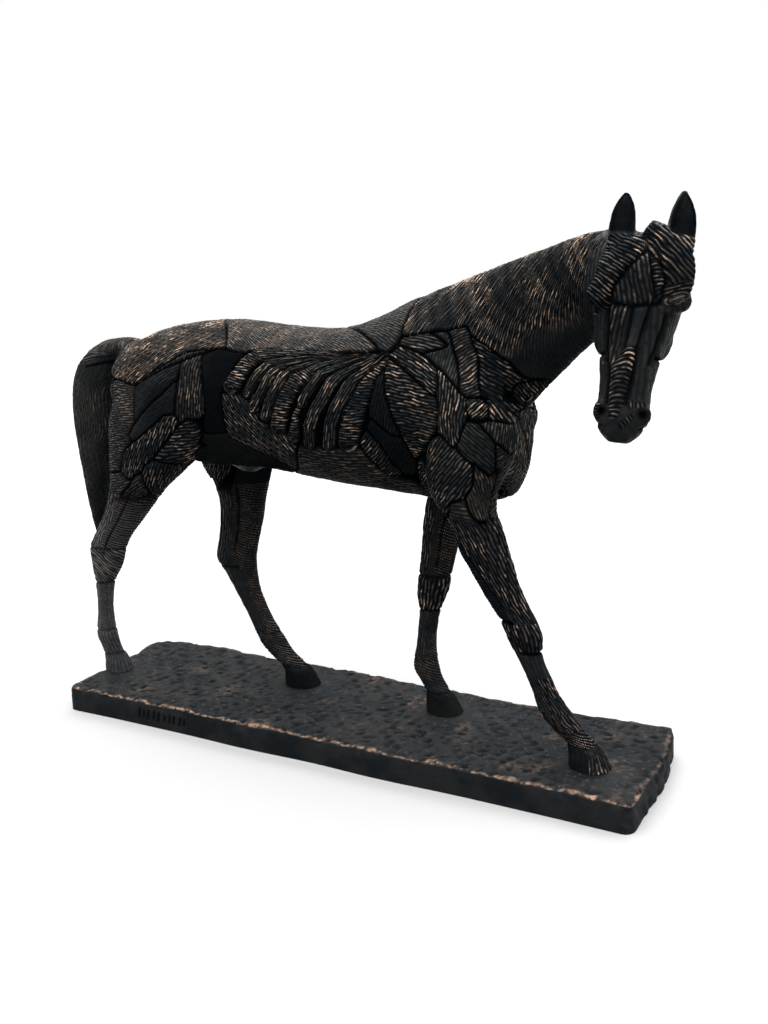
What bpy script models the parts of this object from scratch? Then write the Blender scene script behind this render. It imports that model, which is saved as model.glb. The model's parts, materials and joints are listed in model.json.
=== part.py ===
"""A walking horse, cast in one piece in the flayed style, on a rough oblong plinth.

Metres, +X the way the horse walks, +Y to its left, +Z up. The origin is the middle of the
plinth's underside. The figure is drawn in shares: hundredths of the height of its withers.
"""

import math

import bmesh
import bpy
import numpy as np
from mathutils import Matrix, Vector

# Driving sizes, in metres
WITHERS_HEIGHT = 0.234
PLINTH_THICKNESS = 0.0155
PLINTH_BEFORE_TOE = 0.0145
PLINTH_BEHIND_HEEL = 0.0
PLINTH_BESIDE_HOOF = 0.0180
PLINTH_FAR_CORNER = 0.0140
SEAT_GAP = 0.0003
EDGE_ROUND = 0.0022
GROUND_RELIEF = 0.0011
GRAIN = 0.0011
MELT_ALL = 8
MELT_BODY = 90
SEAM_DEPTH = 0.0014
SEAM_HALF_WIDTH = 0.0021
RIB_DEPTH = 0.0015
FIGURE_TRIANGLES = 7700
GROUND_COLUMNS = 40
GROUND_ROWS = 11

SHARE = WITHERS_HEIGHT / 100
RING_SIDES = 32

# Trunk stations: forward place, left of the middle, height, half width, half depth, pinch of the top
TRUNK = [
    (-65.0, 0, 80.0, 3.5, 4.0, 0.0),
    (-62.5, 0, 80.0, 9.0, 9.5, 0.0),
    (-57.0, 0, 78.5, 13.0, 13.6, 0.0),
    (-48.0, 0, 78.2, 15.5, 16.9, 0.05),
    (-36.0, 0, 78.4, 15.8, 18.3, 0.10),
    (-24.0, 0, 78.6, 14.8, 18.1, 0.08),
    (-10.0, 0, 77.0, 15.6, 17.9, 0.02),
    (4.0, 0, 75.9, 16.6, 18.4, 0.0),
    (15.0, 0, 76.9, 16.2, 20.4, 0.15),
    (25.0, 0, 78.2, 14.8, 22.9, 0.38),
    (34.0, 0, 76.5, 14.2, 21.6, 0.40),
    (41.0, 0, 74.0, 12.9, 18.2, 0.35),
    (44.9, 0, 71.3, 10.4, 14.0, 0.25),
    (47.0, 0, 69.7, 6.1, 7.7, 0.0),
]

NECK = [
    (22.0, 0, 80.2, 12.5, 18.4, 0.45),
    (34.0, 0, 86.4, 11.6, 17.2, 0.5),
    (46.0, -1.0, 93.4, 8.4, 14.1, 0.45),
    (57.0, -4.5, 99.1, 6.4, 11.2, 0.35),
    (66.0, -10.5, 102.6, 5.6, 9.2, 0.25),
    (73.0, -16.5, 102.5, 5.6, 8.0, 0.1),
    (76.0, -20.0, 100.5, 4.5, 5.5, 0.0),
]

# Leg stations, from the top down: forward, left, height, half width, half depth
NEAR_FORE = [
    (24.0, -4.5, 96.0, 1.5, 2.5),
    (27.0, -7.0, 91.0, 3.4, 5.0),
    (31.5, -9.0, 84.0, 5.4, 8.2),
    (37.5, -9.8, 75.0, 6.4, 10.8),
    (38.5, -10.3, 68.0, 6.2, 10.2),
    (37.0, -10.8, 62.0, 5.6, 8.8),
    (37.7, -11.0, 56.4, 4.8, 6.7),
    (40.2, -10.8, 51.1, 4.2, 5.8),
    (41.6, -10.6, 46.6, 3.8, 5.7),
    (43.8, -10.3, 41.4, 3.4, 4.9),
    (46.2, -10.0, 36.4, 3.1, 4.4),
    (48.8, -9.7, 31.9, 3.2, 4.1),
    (50.2, -9.5, 28.3, 3.3, 4.0),
    (51.1, -9.2, 24.4, 2.5, 3.0),
    (53.1, -8.9, 19.5, 2.2, 2.7),
    (55.2, -8.6, 14.7, 2.3, 3.0),
    (57.4, -8.3, 10.6, 2.9, 3.7),
    (59.6, -8.0, 7.9, 2.7, 3.3),
    (62.0, -7.8, 5.6, 2.8, 3.2),
    (63.4, -7.6, 3.6, 3.3, 3.6),
]
FAR_FORE = [
    (24.0, 4.5, 96.0, 1.5, 2.5),
    (27.0, 7.0, 91.0, 3.4, 5.0),
    (31.5, 9.0, 84.0, 5.4, 8.2),
    (36.0, 9.8, 75.0, 6.4, 10.8),
    (33.0, 10.3, 67.0, 6.2, 10.2),
    (27.5, 10.8, 60.0, 5.4, 7.1),
    (23.9, 10.5, 52.5, 4.4, 5.4),
    (22.6, 9.9, 46.3, 3.9, 4.9),
    (21.9, 9.5, 41.2, 3.6, 4.6),
    (20.8, 9.2, 34.8, 3.3, 4.2),
    (20.1, 8.8, 30.2, 3.3, 4.0),
    (19.5, 8.5, 25.6, 2.6, 2.8),
    (18.9, 8.1, 21.0, 2.1, 2.5),
    (18.5, 7.8, 15.6, 2.2, 2.6),
    (18.5, 7.5, 10.6, 2.9, 3.3),
    (19.9, 7.2, 7.7, 2.7, 3.0),
    (21.7, 6.8, 5.4, 2.8, 3.0),
    (22.8, 6.4, 3.6, 3.3, 3.6),
]
NEAR_HIND = [
    (-32.0, -7.0, 94.0, 1.6, 4.0),
    (-35.0, -8.6, 89.5, 4.2, 9.0),
    (-40.0, -9.8, 82.0, 6.4, 14.0),
    (-44.5, -10.4, 74.0, 7.0, 16.4),
    (-46.5, -11.2, 66.0, 6.8, 14.6),
    (-49.0, -11.6, 60.5, 6.0, 11.6),
    (-52.5, -11.6, 56.0, 5.2, 9.0),
    (-56.5, -11.0, 51.0, 4.5, 7.3),
    (-60.5, -10.4, 46.2, 3.9, 6.3),
    (-64.8, -9.8, 41.5, 3.4, 5.8),
    (-67.9, -9.2, 37.2, 3.2, 5.9),
    (-69.2, -8.5, 32.6, 3.3, 4.8),
    (-71.2, -7.8, 28.1, 2.7, 3.1),
    (-72.6, -7.1, 23.4, 2.2, 2.4),
    (-73.8, -6.4, 17.1, 2.1, 2.3),
    (-74.5, -5.8, 11.0, 2.7, 3.0),
    (-74.5, -5.1, 8.0, 2.5, 2.8),
    (-74.3, -4.4, 5.6, 2.6, 2.8),
    (-73.9, -3.9, 3.6, 3.0, 3.2),
]
FAR_HIND = [
    (-32.0, 7.0, 94.0, 1.6, 4.0),
    (-35.0, 8.6, 89.5, 4.2, 9.0),
    (-39.0, 9.8, 82.0, 6.4, 14.0),
    (-41.0, 10.4, 74.0, 7.0, 16.0),
    (-39.5, 11.2, 66.0, 6.8, 14.0),
    (-38.8, 11.4, 59.0, 6.0, 11.6),
    (-37.7, 11.0, 53.9, 5.0, 9.1),
    (-36.9, 10.6, 48.9, 4.4, 7.1),
    (-37.4, 10.2, 42.7, 3.7, 6.6),
    (-38.7, 9.9, 36.9, 3.3, 6.3),
    (-39.4, 9.6, 32.0, 3.3, 6.3),
    (-37.7, 9.3, 28.3, 2.9, 5.0),
    (-35.4, 9.0, 23.0, 2.3, 4.0),
    (-31.9, 8.7, 16.8, 2.3, 3.6),
    (-28.2, 8.4, 10.9, 2.8, 4.0),
    (-25.6, 8.2, 7.9, 2.7, 3.8),
    (-22.3, 7.9, 5.6, 2.8, 3.7),
    (-19.6, 7.6, 3.6, 3.3, 3.8),
]
LEGS = {"near_fore": NEAR_FORE, "far_fore": FAR_FORE, "near_hind": NEAR_HIND, "far_hind": FAR_HIND}

TAIL = [
    (-56.0, 0, 88.5, 3.6, 3.2),
    (-62.0, 0, 90.0, 3.4, 3.0),
    (-68.0, 0, 89.2, 3.4, 3.4),
    (-72.6, 0, 85.6, 3.9, 5.4),
    (-75.9, 0, 80.8, 4.3, 6.5),
    (-77.0, 0, 74.5, 4.6, 6.7),
    (-77.4, 0, 66.5, 4.6, 6.1),
    (-78.0, 0, 57.7, 4.0, 4.5),
    (-78.5, 0, 48.2, 2.9, 3.1),
    (-79.0, 0, 41.0, 1.7, 1.8),
    (-79.3, 0, 37.0, 0.7, 0.7),
]

# Head stations: down the face from the poll, half width, front of the axis, back of the axis
HEAD_PLACE = (76.0, -18.5, 109.0)
HEAD_TURN = -77.0
HEAD_NOD = 10.0
HEAD_LEAN = 6.4
HEAD = [
    (-1.2, 3.0, 1.0, 3.0),
    (0.2, 5.2, 2.8, 6.0),
    (2.9, 7.0, 4.4, 8.2),
    (6.1, 7.9, 5.2, 10.4),
    (9.5, 8.2, 5.3, 12.0),
    (12.9, 7.7, 4.9, 12.8),
    (16.3, 6.9, 4.3, 12.0),
    (19.5, 5.8, 3.8, 9.8),
    (23.0, 5.1, 3.4, 7.2),
    (26.6, 4.6, 3.2, 6.0),
    (29.8, 4.8, 3.2, 6.0),
    (32.3, 4.8, 2.9, 5.8),
    (34.7, 3.5, 1.6, 4.8),
    (36.2, 1.8, 0.2, 3.2),
]
EAR_SPREAD = 5.5
EAR_SHIFT = 0.5
EAR_TURN = {-1: (0.6, 0.95, 0.92), 1: (0.0, 1.0, 1.0)}
EAR = [
    (-1.5, 2.2, 2.4),
    (0.0, 2.4, 2.5),
    (2.0, 2.5, 2.3),
    (4.5, 2.4, 1.9),
    (7.0, 1.9, 1.5),
    (8.8, 1.1, 1.0),
    (10.0, 0.5, 0.5),
]

# Ridges of the face: left of the middle, front of the axis, down the face, radius
BROWS = {
    -1: [
        (-1.4, 3.2, 0.9, 1.4),
        (-4.0, 3.7, 5.0, 1.8),
        (-5.6, 3.1, 8.6, 1.8),
        (-6.1, 2.2, 12.2, 1.2),
    ],
    1: [
        (-0.2, 2.2, -1.0, 1.9),
        (3.9, 2.6, 1.0, 2.1),
        (6.3, 2.6, 4.2, 2.1),
        (7.2, 2.2, 7.4, 1.7),
        (6.9, 2.0, 9.4, 1.2),
    ],
}
NOSE_BRIDGE = [
    (0.9, 3.6, 12.8, 1.3),
    (0.5, 3.4, 17.0, 1.5),
    (-0.4, 2.9, 22.0, 1.6),
    (-1.1, 2.6, 26.0, 1.5),
    (-1.2, 2.2, 29.5, 1.2),
]

# Rounded masses of the head: down the face, left of the middle, front of the axis, radius, how far drawn out
EYE = (10.4, 7.1, 1.2, 2.2, 1.0)
CHEEK_BULGE = (16.6, 3.3, -5.6, 3.9, 1.25)
NOSTRIL_WING = (31.0, 3.5, 0.9, 1.7, 1.3)
NOSTRIL = (30.9, 3.7, 2.4, 1.0)
NOSTRIL_DEPTH = 1.1
EAR_HOLLOW = 1.9
EAR_RIM = 0.75

# The sheath under the belly: forward, left, height, radius, how far drawn out
SHEATH = (-26.0, -1.5, 61.6, 3.2, 1.6)

# Hoof rings for a pastern of full depth: forward of the leg's last station, height, half width, half length
FULL_PASTERN = 3.6
HOOF = [
    (-0.4, 4.8, 2.8, 3.1),
    (-0.1, 3.9, 3.3, 3.6),
    (0.6, 1.6, 3.8, 4.3),
    (1.1, -0.2, 4.1, 4.7),
    (1.4, -2.0, 4.2, 4.9),
]

# Muscle panels on both flanks, on the unrolled chart: forward place, height, half length, half width, lean
UNROLL = 0.8
UNROLL_HALF_WIDTH = 16.5
FLANK_PANELS = [
    (-4.5, 98.5, 21.0, 5.5, 174),
    (-36.5, 92.0, 18.0, 6.0, 23),
    (20.3, 102.3, 10.0, 5.0, 80),
    (29.1, 97.1, 9.0, 3.6, 85),
    (31.5, 107.0, 9.0, 5.0, 28),
    (27.1, 77.1, 12.6, 5.0, 84),
    (27.5, 87.0, 7.2, 2.2, 142),
    (36.2, 78.5, 9.0, 2.6, 88),
    (37.8, 87.6, 8.4, 2.9, 116),
    (46.3, 83.3, 8.8, 2.5, 138),
    (42.4, 78.5, 2.5, 2.2, 155),
    (49.5, 78.8, 4.6, 2.4, 155),
    (42.4, 68.7, 7.4, 4.0, 124),
    (49.3, 73.1, 4.8, 2.1, 10),
    (33.6, 60.7, 8.8, 4.6, 127),
    (52.0, 64.0, 8.0, 4.0, 72),
    (22.3, 78.1, 8.4, 2.0, 104),
    (19.6, 65.6, 8.5, 2.8, 137),
    (21.5, 72.3, 6.4, 2.4, 132),
    (3.0, 60.5, 17.0, 4.2, 170),
    (0.0, 79.0, 19.5, 9.6, 172),
    (-12.9, 71.8, 11.8, 4.8, 148),
    (-23.7, 83.3, 7.0, 3.3, 101),
    (-30.8, 83.5, 8.8, 3.3, 79),
    (-55.5, 74.9, 10.5, 4.0, 84),
    (-40.6, 83.9, 8.4, 2.0, 26),
    (-42.4, 78.8, 9.6, 2.5, 32),
    (-42.0, 72.4, 8.6, 2.5, 29),
    (-45.6, 65.0, 9.8, 3.0, 47),
    (-34.6, 67.6, 7.2, 3.5, 15),
    (-41.8, 58.0, 8.8, 3.3, 20),
    (-57.5, 61.0, 9.0, 3.0, 65),
    (58.0, 99.0, 22.0, 11.0, 30),
]
PANEL_REACH = 1.7
RIB_PANEL = 20

# The ribs fan back from one point behind the withers, bend at the knee line and end at the foot line
RIB_POLE = (20.6, 89.6)
RIB_KNEES = ((-14.5, 87.0), (14.4, 83.5))
RIB_FEET = ((-17.4, 81.2), (8.3, 68.8))
RIB_COUNT = 8

# Seams round and along the legs: heights of the rings, bearings of the lines, and how high the lines start
LEG_TOP = 54.0
RING_SEAMS = {"fore": (34.2, 25.4, 13.6, 5.4), "hind": (45.0, 29.4, 13.6, 5.4)}
LINE_SEAMS = (25.0, 118.0, 205.0, 292.0)
LINE_FOOT = 37.0

# Seams on the face: half width of the bridge of the nose, and its start and end down the face, and its slant
BRIDGE_SLANT = ((13.0, 1.1), (19.0, 0.4), (24.0, -1.0), (32.0, -1.2))
BRIDGE = (2.0, 13.0, 30.0)
CHEEK = (5.2, 14.0, 27.0)
MOUTH = (33.2, 1.2)

def share_point(x, y, z):
    """A place on the figure, in metres, from its shares; heights count from the soles."""
    return Vector((x * SHARE, y * SHARE, z * SHARE + PLINTH_THICKNESS + SEAT_GAP))


def smooth_rows(rows, steps):
    """Catmull-Rom curve through the rows of a station table."""
    rows = np.array(rows, float)
    padded = np.vstack([2 * rows[0] - rows[1], rows, 2 * rows[-1] - rows[-2]])
    found = []
    for before, start, end, after in zip(padded, padded[1:], padded[2:], padded[3:]):
        for t in np.arange(steps) / steps:
            found.append(
                0.5 * (2 * start + (end - before) * t
                       + (2 * before - 5 * start + 4 * end - after) * t * t
                       + (3 * start - before - 3 * end + after) * t ** 3)
            )
    return np.array(found + [rows[-1]])


def add_ring(bm, place, half_width, half_depth, pinch=0.0, capped=False):
    """An oval ring in its own XY plane, narrowed towards +Y by pinch, then placed."""
    made = bmesh.ops.create_circle(bm, cap_ends=capped, segments=RING_SIDES, radius=1.0)
    for vert in made["verts"]:
        vert.co.x *= (1 - pinch * max(0.0, vert.co.y) ** 2) * half_width
        vert.co.y *= half_depth
    bmesh.ops.transform(bm, matrix=place, verts=made["verts"])
    return [e for e in {e for v in made["verts"] for e in v.link_edges}]


def add_tube(bm, rings):
    """Bridges placed rings into one closed tube. Each ring is (matrix, half width, half depth, pinch)."""
    before = None
    for number, (place, half_width, half_depth, pinch) in enumerate(rings):
        edges = add_ring(bm, place, half_width, half_depth, pinch, number in (0, len(rings) - 1))
        if before:
            bmesh.ops.bridge_loops(bm, edges=before + edges)
        before = edges


def facing(centre, normal, across):
    """Places a ring at centre, square to normal, with its X nearest to across."""
    normal = normal.normalized()
    across = (across - normal * across.dot(normal)).normalized()
    up = normal.cross(across)
    return Matrix.Translation(centre) @ Matrix((across, up, normal)).transposed().to_4x4()


def body_rings(rows, steps=3, along=None):
    """Rings of a trunk, neck or tail: square to the curve, or to along where it is given."""
    rows = smooth_rows(rows, steps)
    centres = [share_point(*row[:3]) for row in rows]
    rings = []
    for number, (centre, row) in enumerate(zip(centres, rows)):
        ahead = centres[min(number + 1, len(centres) - 1)] - centres[max(number - 1, 0)]
        place = facing(centre, along or ahead, Vector((0, -1, 0)))
        pinch = row[5] if len(row) > 5 else 0.0
        rings.append((place, row[3] * SHARE, row[4] * SHARE, pinch))
    return rings


def leg_rings(rows):
    """Level rings down a leg."""
    return [
        (facing(share_point(*row[:3]), Vector((0, 0, -1)), Vector((0, 1, 0))),
         row[3] * SHARE, row[4] * SHARE, 0.0)
        for row in smooth_rows(rows, 3)
    ]


def hoof_rings(leg):
    """Level rings of the hoof under a leg, reaching a little below the soles."""
    ankle = leg[-1]
    size = ankle[4] / FULL_PASTERN
    return [
        (facing(share_point(ankle[0] + ahead * size, ankle[1], height), Vector((0, 0, -1)), Vector((0, 1, 0))),
         half_width * size * SHARE, half_length * size * SHARE, 0.0)
        for ahead, height, half_width, half_length in smooth_rows(HOOF, 2)
    ]


def head_frame():
    """The head's own frame: X to its left, Y out of the face, Z down the face, from the poll."""
    turn = math.radians(HEAD_TURN)
    ahead = Vector((math.cos(turn), math.sin(turn), 0))
    left = Vector((-ahead.y, ahead.x, 0))
    nod = math.radians(HEAD_NOD)
    down = Vector((0, 0, -1)) * math.cos(nod) + ahead * math.sin(nod)
    down = (down - left * math.tan(math.radians(HEAD_LEAN))).normalized()
    left = (left - down * left.dot(down)).normalized()
    face = down.cross(left)
    turned = Matrix((left, face, down)).transposed().to_4x4()
    return Matrix.Translation(share_point(*HEAD_PLACE)) @ turned


def head_rings(frame):
    """Rings down the head, square to its axis."""
    rings = []
    for down, half_width, front, back in smooth_rows(HEAD, 2):
        centre = Matrix.Translation(Vector((0, (front - back) / 2, down)) * SHARE)
        rings.append((frame @ centre, half_width * SHARE, (front + back) / 2 * SHARE, 0.0))
    return rings


def ear_rings(frame, side):
    """Rings up one ear, which leans out and a little forward."""
    tilt = Matrix.Rotation(math.radians(172), 4, "X") @ Matrix.Rotation(math.radians(-1.5 * side - 2), 4, "Y")
    shift, narrow, length = EAR_TURN[side]
    root = Matrix.Translation(Vector((EAR_SPREAD * side + EAR_SHIFT + shift, 0.8, 0.8)) * SHARE)
    return [
        (frame @ root @ tilt @ Matrix.Translation((0, 0, up * length * SHARE)),
         half_width * narrow * SHARE, half_depth * SHARE, 0.0)
        for up, half_width, half_depth in smooth_rows(EAR, 2)
    ]


def ridge_rings(frame, rows):
    """Round rings along a ridge of the face."""
    rows = smooth_rows(rows, 3)
    centres = [frame @ (Vector(row[:3]) * SHARE) for row in rows]
    rings = []
    for number, (centre, row) in enumerate(zip(centres, rows)):
        ahead = centres[min(number + 1, len(centres) - 1)] - centres[max(number - 1, 0)]
        across = frame.to_3x3() @ Vector((0, 1, 0))
        rings.append((facing(centre, ahead, across), row[3] * SHARE, row[3] * SHARE, 0.0))
    return rings


def add_ball(bm, frame, place, radius, stretch):
    """A round mass, drawn out along its own Z by stretch."""
    place = Matrix.Translation(Vector(place) * SHARE) @ Matrix.Diagonal((1, 1, stretch, 1))
    bmesh.ops.create_icosphere(bm, subdivisions=3, radius=radius * SHARE, matrix=frame @ place)


def figure_tubes():
    """Every limb and mass of the horse as closed tubes that run into each other."""
    bm = bmesh.new()
    frame = head_frame()
    add_tube(bm, body_rings(TRUNK, along=Vector((1, 0, 0))))
    add_tube(bm, body_rings(NECK))
    add_tube(bm, body_rings(TAIL))
    for leg in LEGS.values():
        add_tube(bm, leg_rings(leg))
        add_tube(bm, hoof_rings(leg))
    add_tube(bm, head_rings(frame))
    add_tube(bm, ridge_rings(frame, NOSE_BRIDGE))
    for side in (-1, 1):
        add_tube(bm, ear_rings(frame, side))
        add_tube(bm, ridge_rings(frame, BROWS[side]))
        for down, left, front, radius, stretch in (EYE, CHEEK_BULGE, NOSTRIL_WING):
            add_ball(bm, frame, (left * side, front, down), radius, stretch)
    lengthways = Matrix.Translation(share_point(*SHEATH[:3])) @ Matrix.Rotation(math.radians(80), 4, "Y")
    add_ball(bm, lengthways, (0, 0, 0), SHEATH[3], SHEATH[4])
    bmesh.ops.recalc_face_normals(bm, faces=bm.faces)
    mesh = bpy.data.meshes.new("tubes")
    bm.to_mesh(mesh)
    bm.free()
    return mesh


def evaluated(mesh, **modifiers):
    """The mesh after a stack of modifiers, each given by its type and its values."""
    holder = bpy.data.objects.new("holder", mesh)
    bpy.context.scene.collection.objects.link(holder)
    for kind, values in modifiers.items():
        modifier = holder.modifiers.new(kind, kind.rstrip("_"))
        for name, value in values.items():
            setattr(modifier, name, value)
    graph = bpy.context.evaluated_depsgraph_get()
    made = bpy.data.meshes.new_from_object(holder.evaluated_get(graph))
    bpy.data.objects.remove(holder)
    return made


def coordinates(mesh, layer="vertices", field="co"):
    """One vector per vertex of the mesh, as an array."""
    found = np.empty(len(mesh.vertices) * 3, np.float32)
    getattr(mesh, layer).foreach_get(field, found)
    return found.reshape(-1, 3).astype(float)


def smoothed(mesh):
    """Melts the tubes into one another: a little on legs, ears and face, much more on the body."""
    places = shares_of(mesh)
    body = np.clip((places[:, 2] - 52) / 8, 0, 1) * np.clip((70 - places[:, 0]) / 10, 0, 1)
    body *= np.clip((places[:, 0] + 70) / 4, 0, 1)
    holder = bpy.data.objects.new("holder", mesh)
    bpy.context.scene.collection.objects.link(holder)
    group = holder.vertex_groups.new(name="body")
    levels = np.rint(body * 5).astype(int)
    for level in range(1, 6):
        group.add(np.flatnonzero(levels == level).tolist(), level / 5, "REPLACE")
    for count, region in ((MELT_ALL, ""), (MELT_BODY, "body")):
        melt = holder.modifiers.new("melt", "SMOOTH")
        melt.factor = 0.5
        melt.iterations = count
        melt.vertex_group = region
    graph = bpy.context.evaluated_depsgraph_get()
    made = bpy.data.meshes.new_from_object(holder.evaluated_get(graph))
    bpy.data.objects.remove(holder)
    return made


def shares_of(mesh):
    """Vertex places in shares, heights counted from the soles."""
    return (coordinates(mesh) - np.array([0, 0, PLINTH_THICKNESS + SEAT_GAP])) / SHARE


def groove(distance, half_width=SEAM_HALF_WIDTH / SHARE):
    """Cross section of a seam: 1 at its middle, falling away smoothly to 0 at its half width."""
    return np.clip(1 - np.abs(distance) / half_width, 0, 1) ** 1.5


def window(value, low, high, fade):
    """1 between low and high, fading to 0 over fade beyond them."""
    return np.clip((value - low) / fade + 1, 0, 1) * np.clip((high - value) / fade + 1, 0, 1)


def line_distance(u, v, start, end):
    """Distance on the chart from each place to the line from start to end."""
    run = np.subtract(end, start)
    along = np.clip(((u - start[0]) * run[0] + (v - start[1]) * run[1]) / run.dot(run), 0, 1)
    return np.hypot(u - start[0] - along * run[0], v - start[1] - along * run[1])


def unrolled(places, normals):
    """The flank chart: back, belly and breast are rolled out flat beside the sides."""
    reach = UNROLL * np.clip(UNROLL_HALF_WIDTH - np.abs(places[:, 1]), 0, None)
    u = places[:, 0] + reach * normals[:, 0] * np.abs(normals[:, 0])
    v = places[:, 2] + reach * normals[:, 2] * np.abs(normals[:, 2])
    return u, v


def nearest_panels(u, v):
    """The panel at each place, the next one to it, and the distance to the seam between them."""
    panels = np.array(FLANK_PANELS)
    lean = np.radians(panels[:, 4])[:, None]
    right, up = u - panels[:, :1], v - panels[:, 1:2]
    along = (right * np.cos(lean) + up * np.sin(lean)) / panels[:, 2:3]
    across = (up * np.cos(lean) - right * np.sin(lean)) / panels[:, 3:4]
    reach = np.hypot(along, across) + 1e-9
    slope_along, slope_across = along / panels[:, 2:3] / reach, across / panels[:, 3:4] / reach
    slope_u = slope_along * np.cos(lean) - slope_across * np.sin(lean)
    slope_v = slope_along * np.sin(lean) + slope_across * np.cos(lean)
    order = np.argpartition(reach, 1, axis=0)[:2]
    near, near_next = np.take_along_axis(reach, order, 0)
    steep_u = np.subtract(*np.take_along_axis(slope_u, order, 0))
    steep_v = np.subtract(*np.take_along_axis(slope_v, order, 0))
    swap = near > near_next
    owner = np.where(swap, order[1], order[0])
    seam = np.abs(near_next - near) / (np.hypot(steep_u, steep_v) + 0.05)
    return owner, np.minimum(near, near_next), seam


def rib_distance(u, v):
    """Distance to the nearest groove between two ribs."""
    best = np.full(len(u), 99.0)
    for number in range(RIB_COUNT):
        t = number / (RIB_COUNT - 1)
        knee = np.array(RIB_KNEES[0]) * (1 - t) + np.array(RIB_KNEES[1]) * t
        foot = np.array(RIB_FEET[0]) * (1 - t) + np.array(RIB_FEET[1]) * t
        best = np.minimum(best, line_distance(u, v, RIB_POLE, knee))
        best = np.minimum(best, line_distance(u, v, knee, foot))
    return best


def flank_carving(places, normals):
    """Depth of the seams between the muscle panels and between the ribs."""
    u, v = unrolled(places, normals)
    owner, reach, seam = nearest_panels(u, v)
    depth = groove(seam) * SEAM_DEPTH * np.clip((PANEL_REACH - reach) / 0.4, 0, 1)
    ribs = groove(rib_distance(u, v)) * RIB_DEPTH * (owner == RIB_PANEL)
    body = np.clip((places[:, 2] - LEG_TOP) / 4, 0, 1) * window(u, -64, 66, 4)
    return np.maximum(depth, ribs) * body


def leg_carving(places):
    """Depth of the rings round the joints and of the lines down the forearms and gaskins."""
    depth = np.zeros(len(places))
    nearest = np.full(len(places), 9.0)
    for name, rows in LEGS.items():
        rows = np.array(rows)[::-1]
        forward, left = (np.interp(places[:, 2], rows[:, 2], rows[:, axis]) for axis in (0, 1))
        away = np.hypot(places[:, 0] - forward, places[:, 1] - left)
        bearing = np.degrees(np.arctan2(places[:, 1] - left, places[:, 0] - forward))
        here = np.zeros(len(places))
        for height in RING_SEAMS[name.split("_")[1]]:
            here = np.maximum(here, groove(places[:, 2] - height) * 0.55)
        for line in LINE_SEAMS:
            turned = np.radians((bearing - line + 180) % 360 - 180)
            here = np.maximum(here, groove(turned * away) * window(places[:, 2], LINE_FOOT, 60, 3) * 0.7)
        mine = away < nearest
        depth[mine] = here[mine]
        nearest[mine] = away[mine]
    return depth * SEAM_DEPTH * (nearest < 8) * np.clip((LEG_TOP + 2 - places[:, 2]) / 4, 0, 1)


def head_carving(mesh, normals):
    """Depth of the nostrils, ear hollows, mouth and the strips of the face."""
    inverse = np.array(head_frame().inverted())
    spots = (coordinates(mesh) @ inverse[:3, :3].T + inverse[:3, 3]) / SHARE
    outward = normals @ inverse[:3, :3].T
    left, front, down = spots.T
    depth = np.zeros(len(spots))
    for side in (-1, 1):
        away = np.linalg.norm(spots - [NOSTRIL[1] * side, NOSTRIL[2], NOSTRIL[0]], axis=1)
        depth = np.maximum(depth, NOSTRIL_DEPTH * SHARE * groove(away, NOSTRIL[3] + 0.6))
        up = 0.8 - down
        ear_width = np.interp(up, [row[0] for row in EAR], [row[1] for row in EAR], left=9, right=0.1)
        aside = left - EAR_SPREAD * side - EAR_SHIFT - EAR_TURN[side][0]
        inner = np.clip((ear_width * EAR_TURN[side][1] - np.abs(aside)) / EAR_RIM - 0.3, 0, 1)
        hollow = inner * window(up, 2.6, 8.6, 1.2) * np.clip(outward[:, 1] * 2, 0, 1)
        depth = np.maximum(depth, EAR_HOLLOW * SHARE * hollow)
    face = 0.5 * SEAM_DEPTH * (outward[:, 1] > 0.1)
    slant = np.interp(down, *zip(*BRIDGE_SLANT))
    for half_width, start, end, middle in ((*BRIDGE, slant), (*CHEEK, 0.0)):
        line = groove(np.abs(left - middle) - half_width)
        depth = np.maximum(depth, face * line * window(down, start, end, 2))
    depth = np.maximum(depth, SEAM_DEPTH * 0.6 * groove(down - MOUTH[0]) * (front < MOUTH[1]))
    return depth * (np.hypot(left, front) < 18) * (down > -12) * (down < 40)


def horse_mesh():
    """The whole figure: melted together, carved, thinned to its triangle count and cut flat at the soles."""
    form = evaluated(figure_tubes(), REMESH={"mode": "VOXEL", "voxel_size": GRAIN})
    form = smoothed(form)
    normals = coordinates(form, "vertex_normals", "vector")
    places = shares_of(form)
    depth = flank_carving(places, normals) + leg_carving(places) + head_carving(form, normals)
    moved = coordinates(form) - normals * depth[:, None]
    form.vertices.foreach_set("co", moved.astype(np.float32).ravel())
    form.update()
    faces = len(form.polygons) * 2
    thin = evaluated(form, DECIMATE={"ratio": FIGURE_TRIANGLES / faces, "use_collapse_triangulate": True})
    return cut_at_soles(thin)


def cut_at_soles(mesh):
    """Cuts the hooves off level, just clear of the plinth, and closes them."""
    level = PLINTH_THICKNESS + SEAT_GAP
    bm = bmesh.new()
    bm.from_mesh(mesh)
    cut = bmesh.ops.bisect_plane(
        bm, geom=bm.verts[:] + bm.edges[:] + bm.faces[:], dist=0.0003,
        plane_co=(0, 0, level), plane_no=(0, 0, 1), clear_inner=True,
    )
    rim = [edge for edge in cut["geom_cut"] if isinstance(edge, bmesh.types.BMEdge)]
    for edge in rim:
        for vert in edge.verts:
            vert.co.z = level
    bmesh.ops.edgeloop_fill(bm, edges=rim)
    bmesh.ops.triangulate(bm, faces=bm.faces)
    bmesh.ops.recalc_face_normals(bm, faces=bm.faces)
    made = bpy.data.meshes.new("horse")
    bm.to_mesh(made)
    bm.free()
    return made


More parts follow.
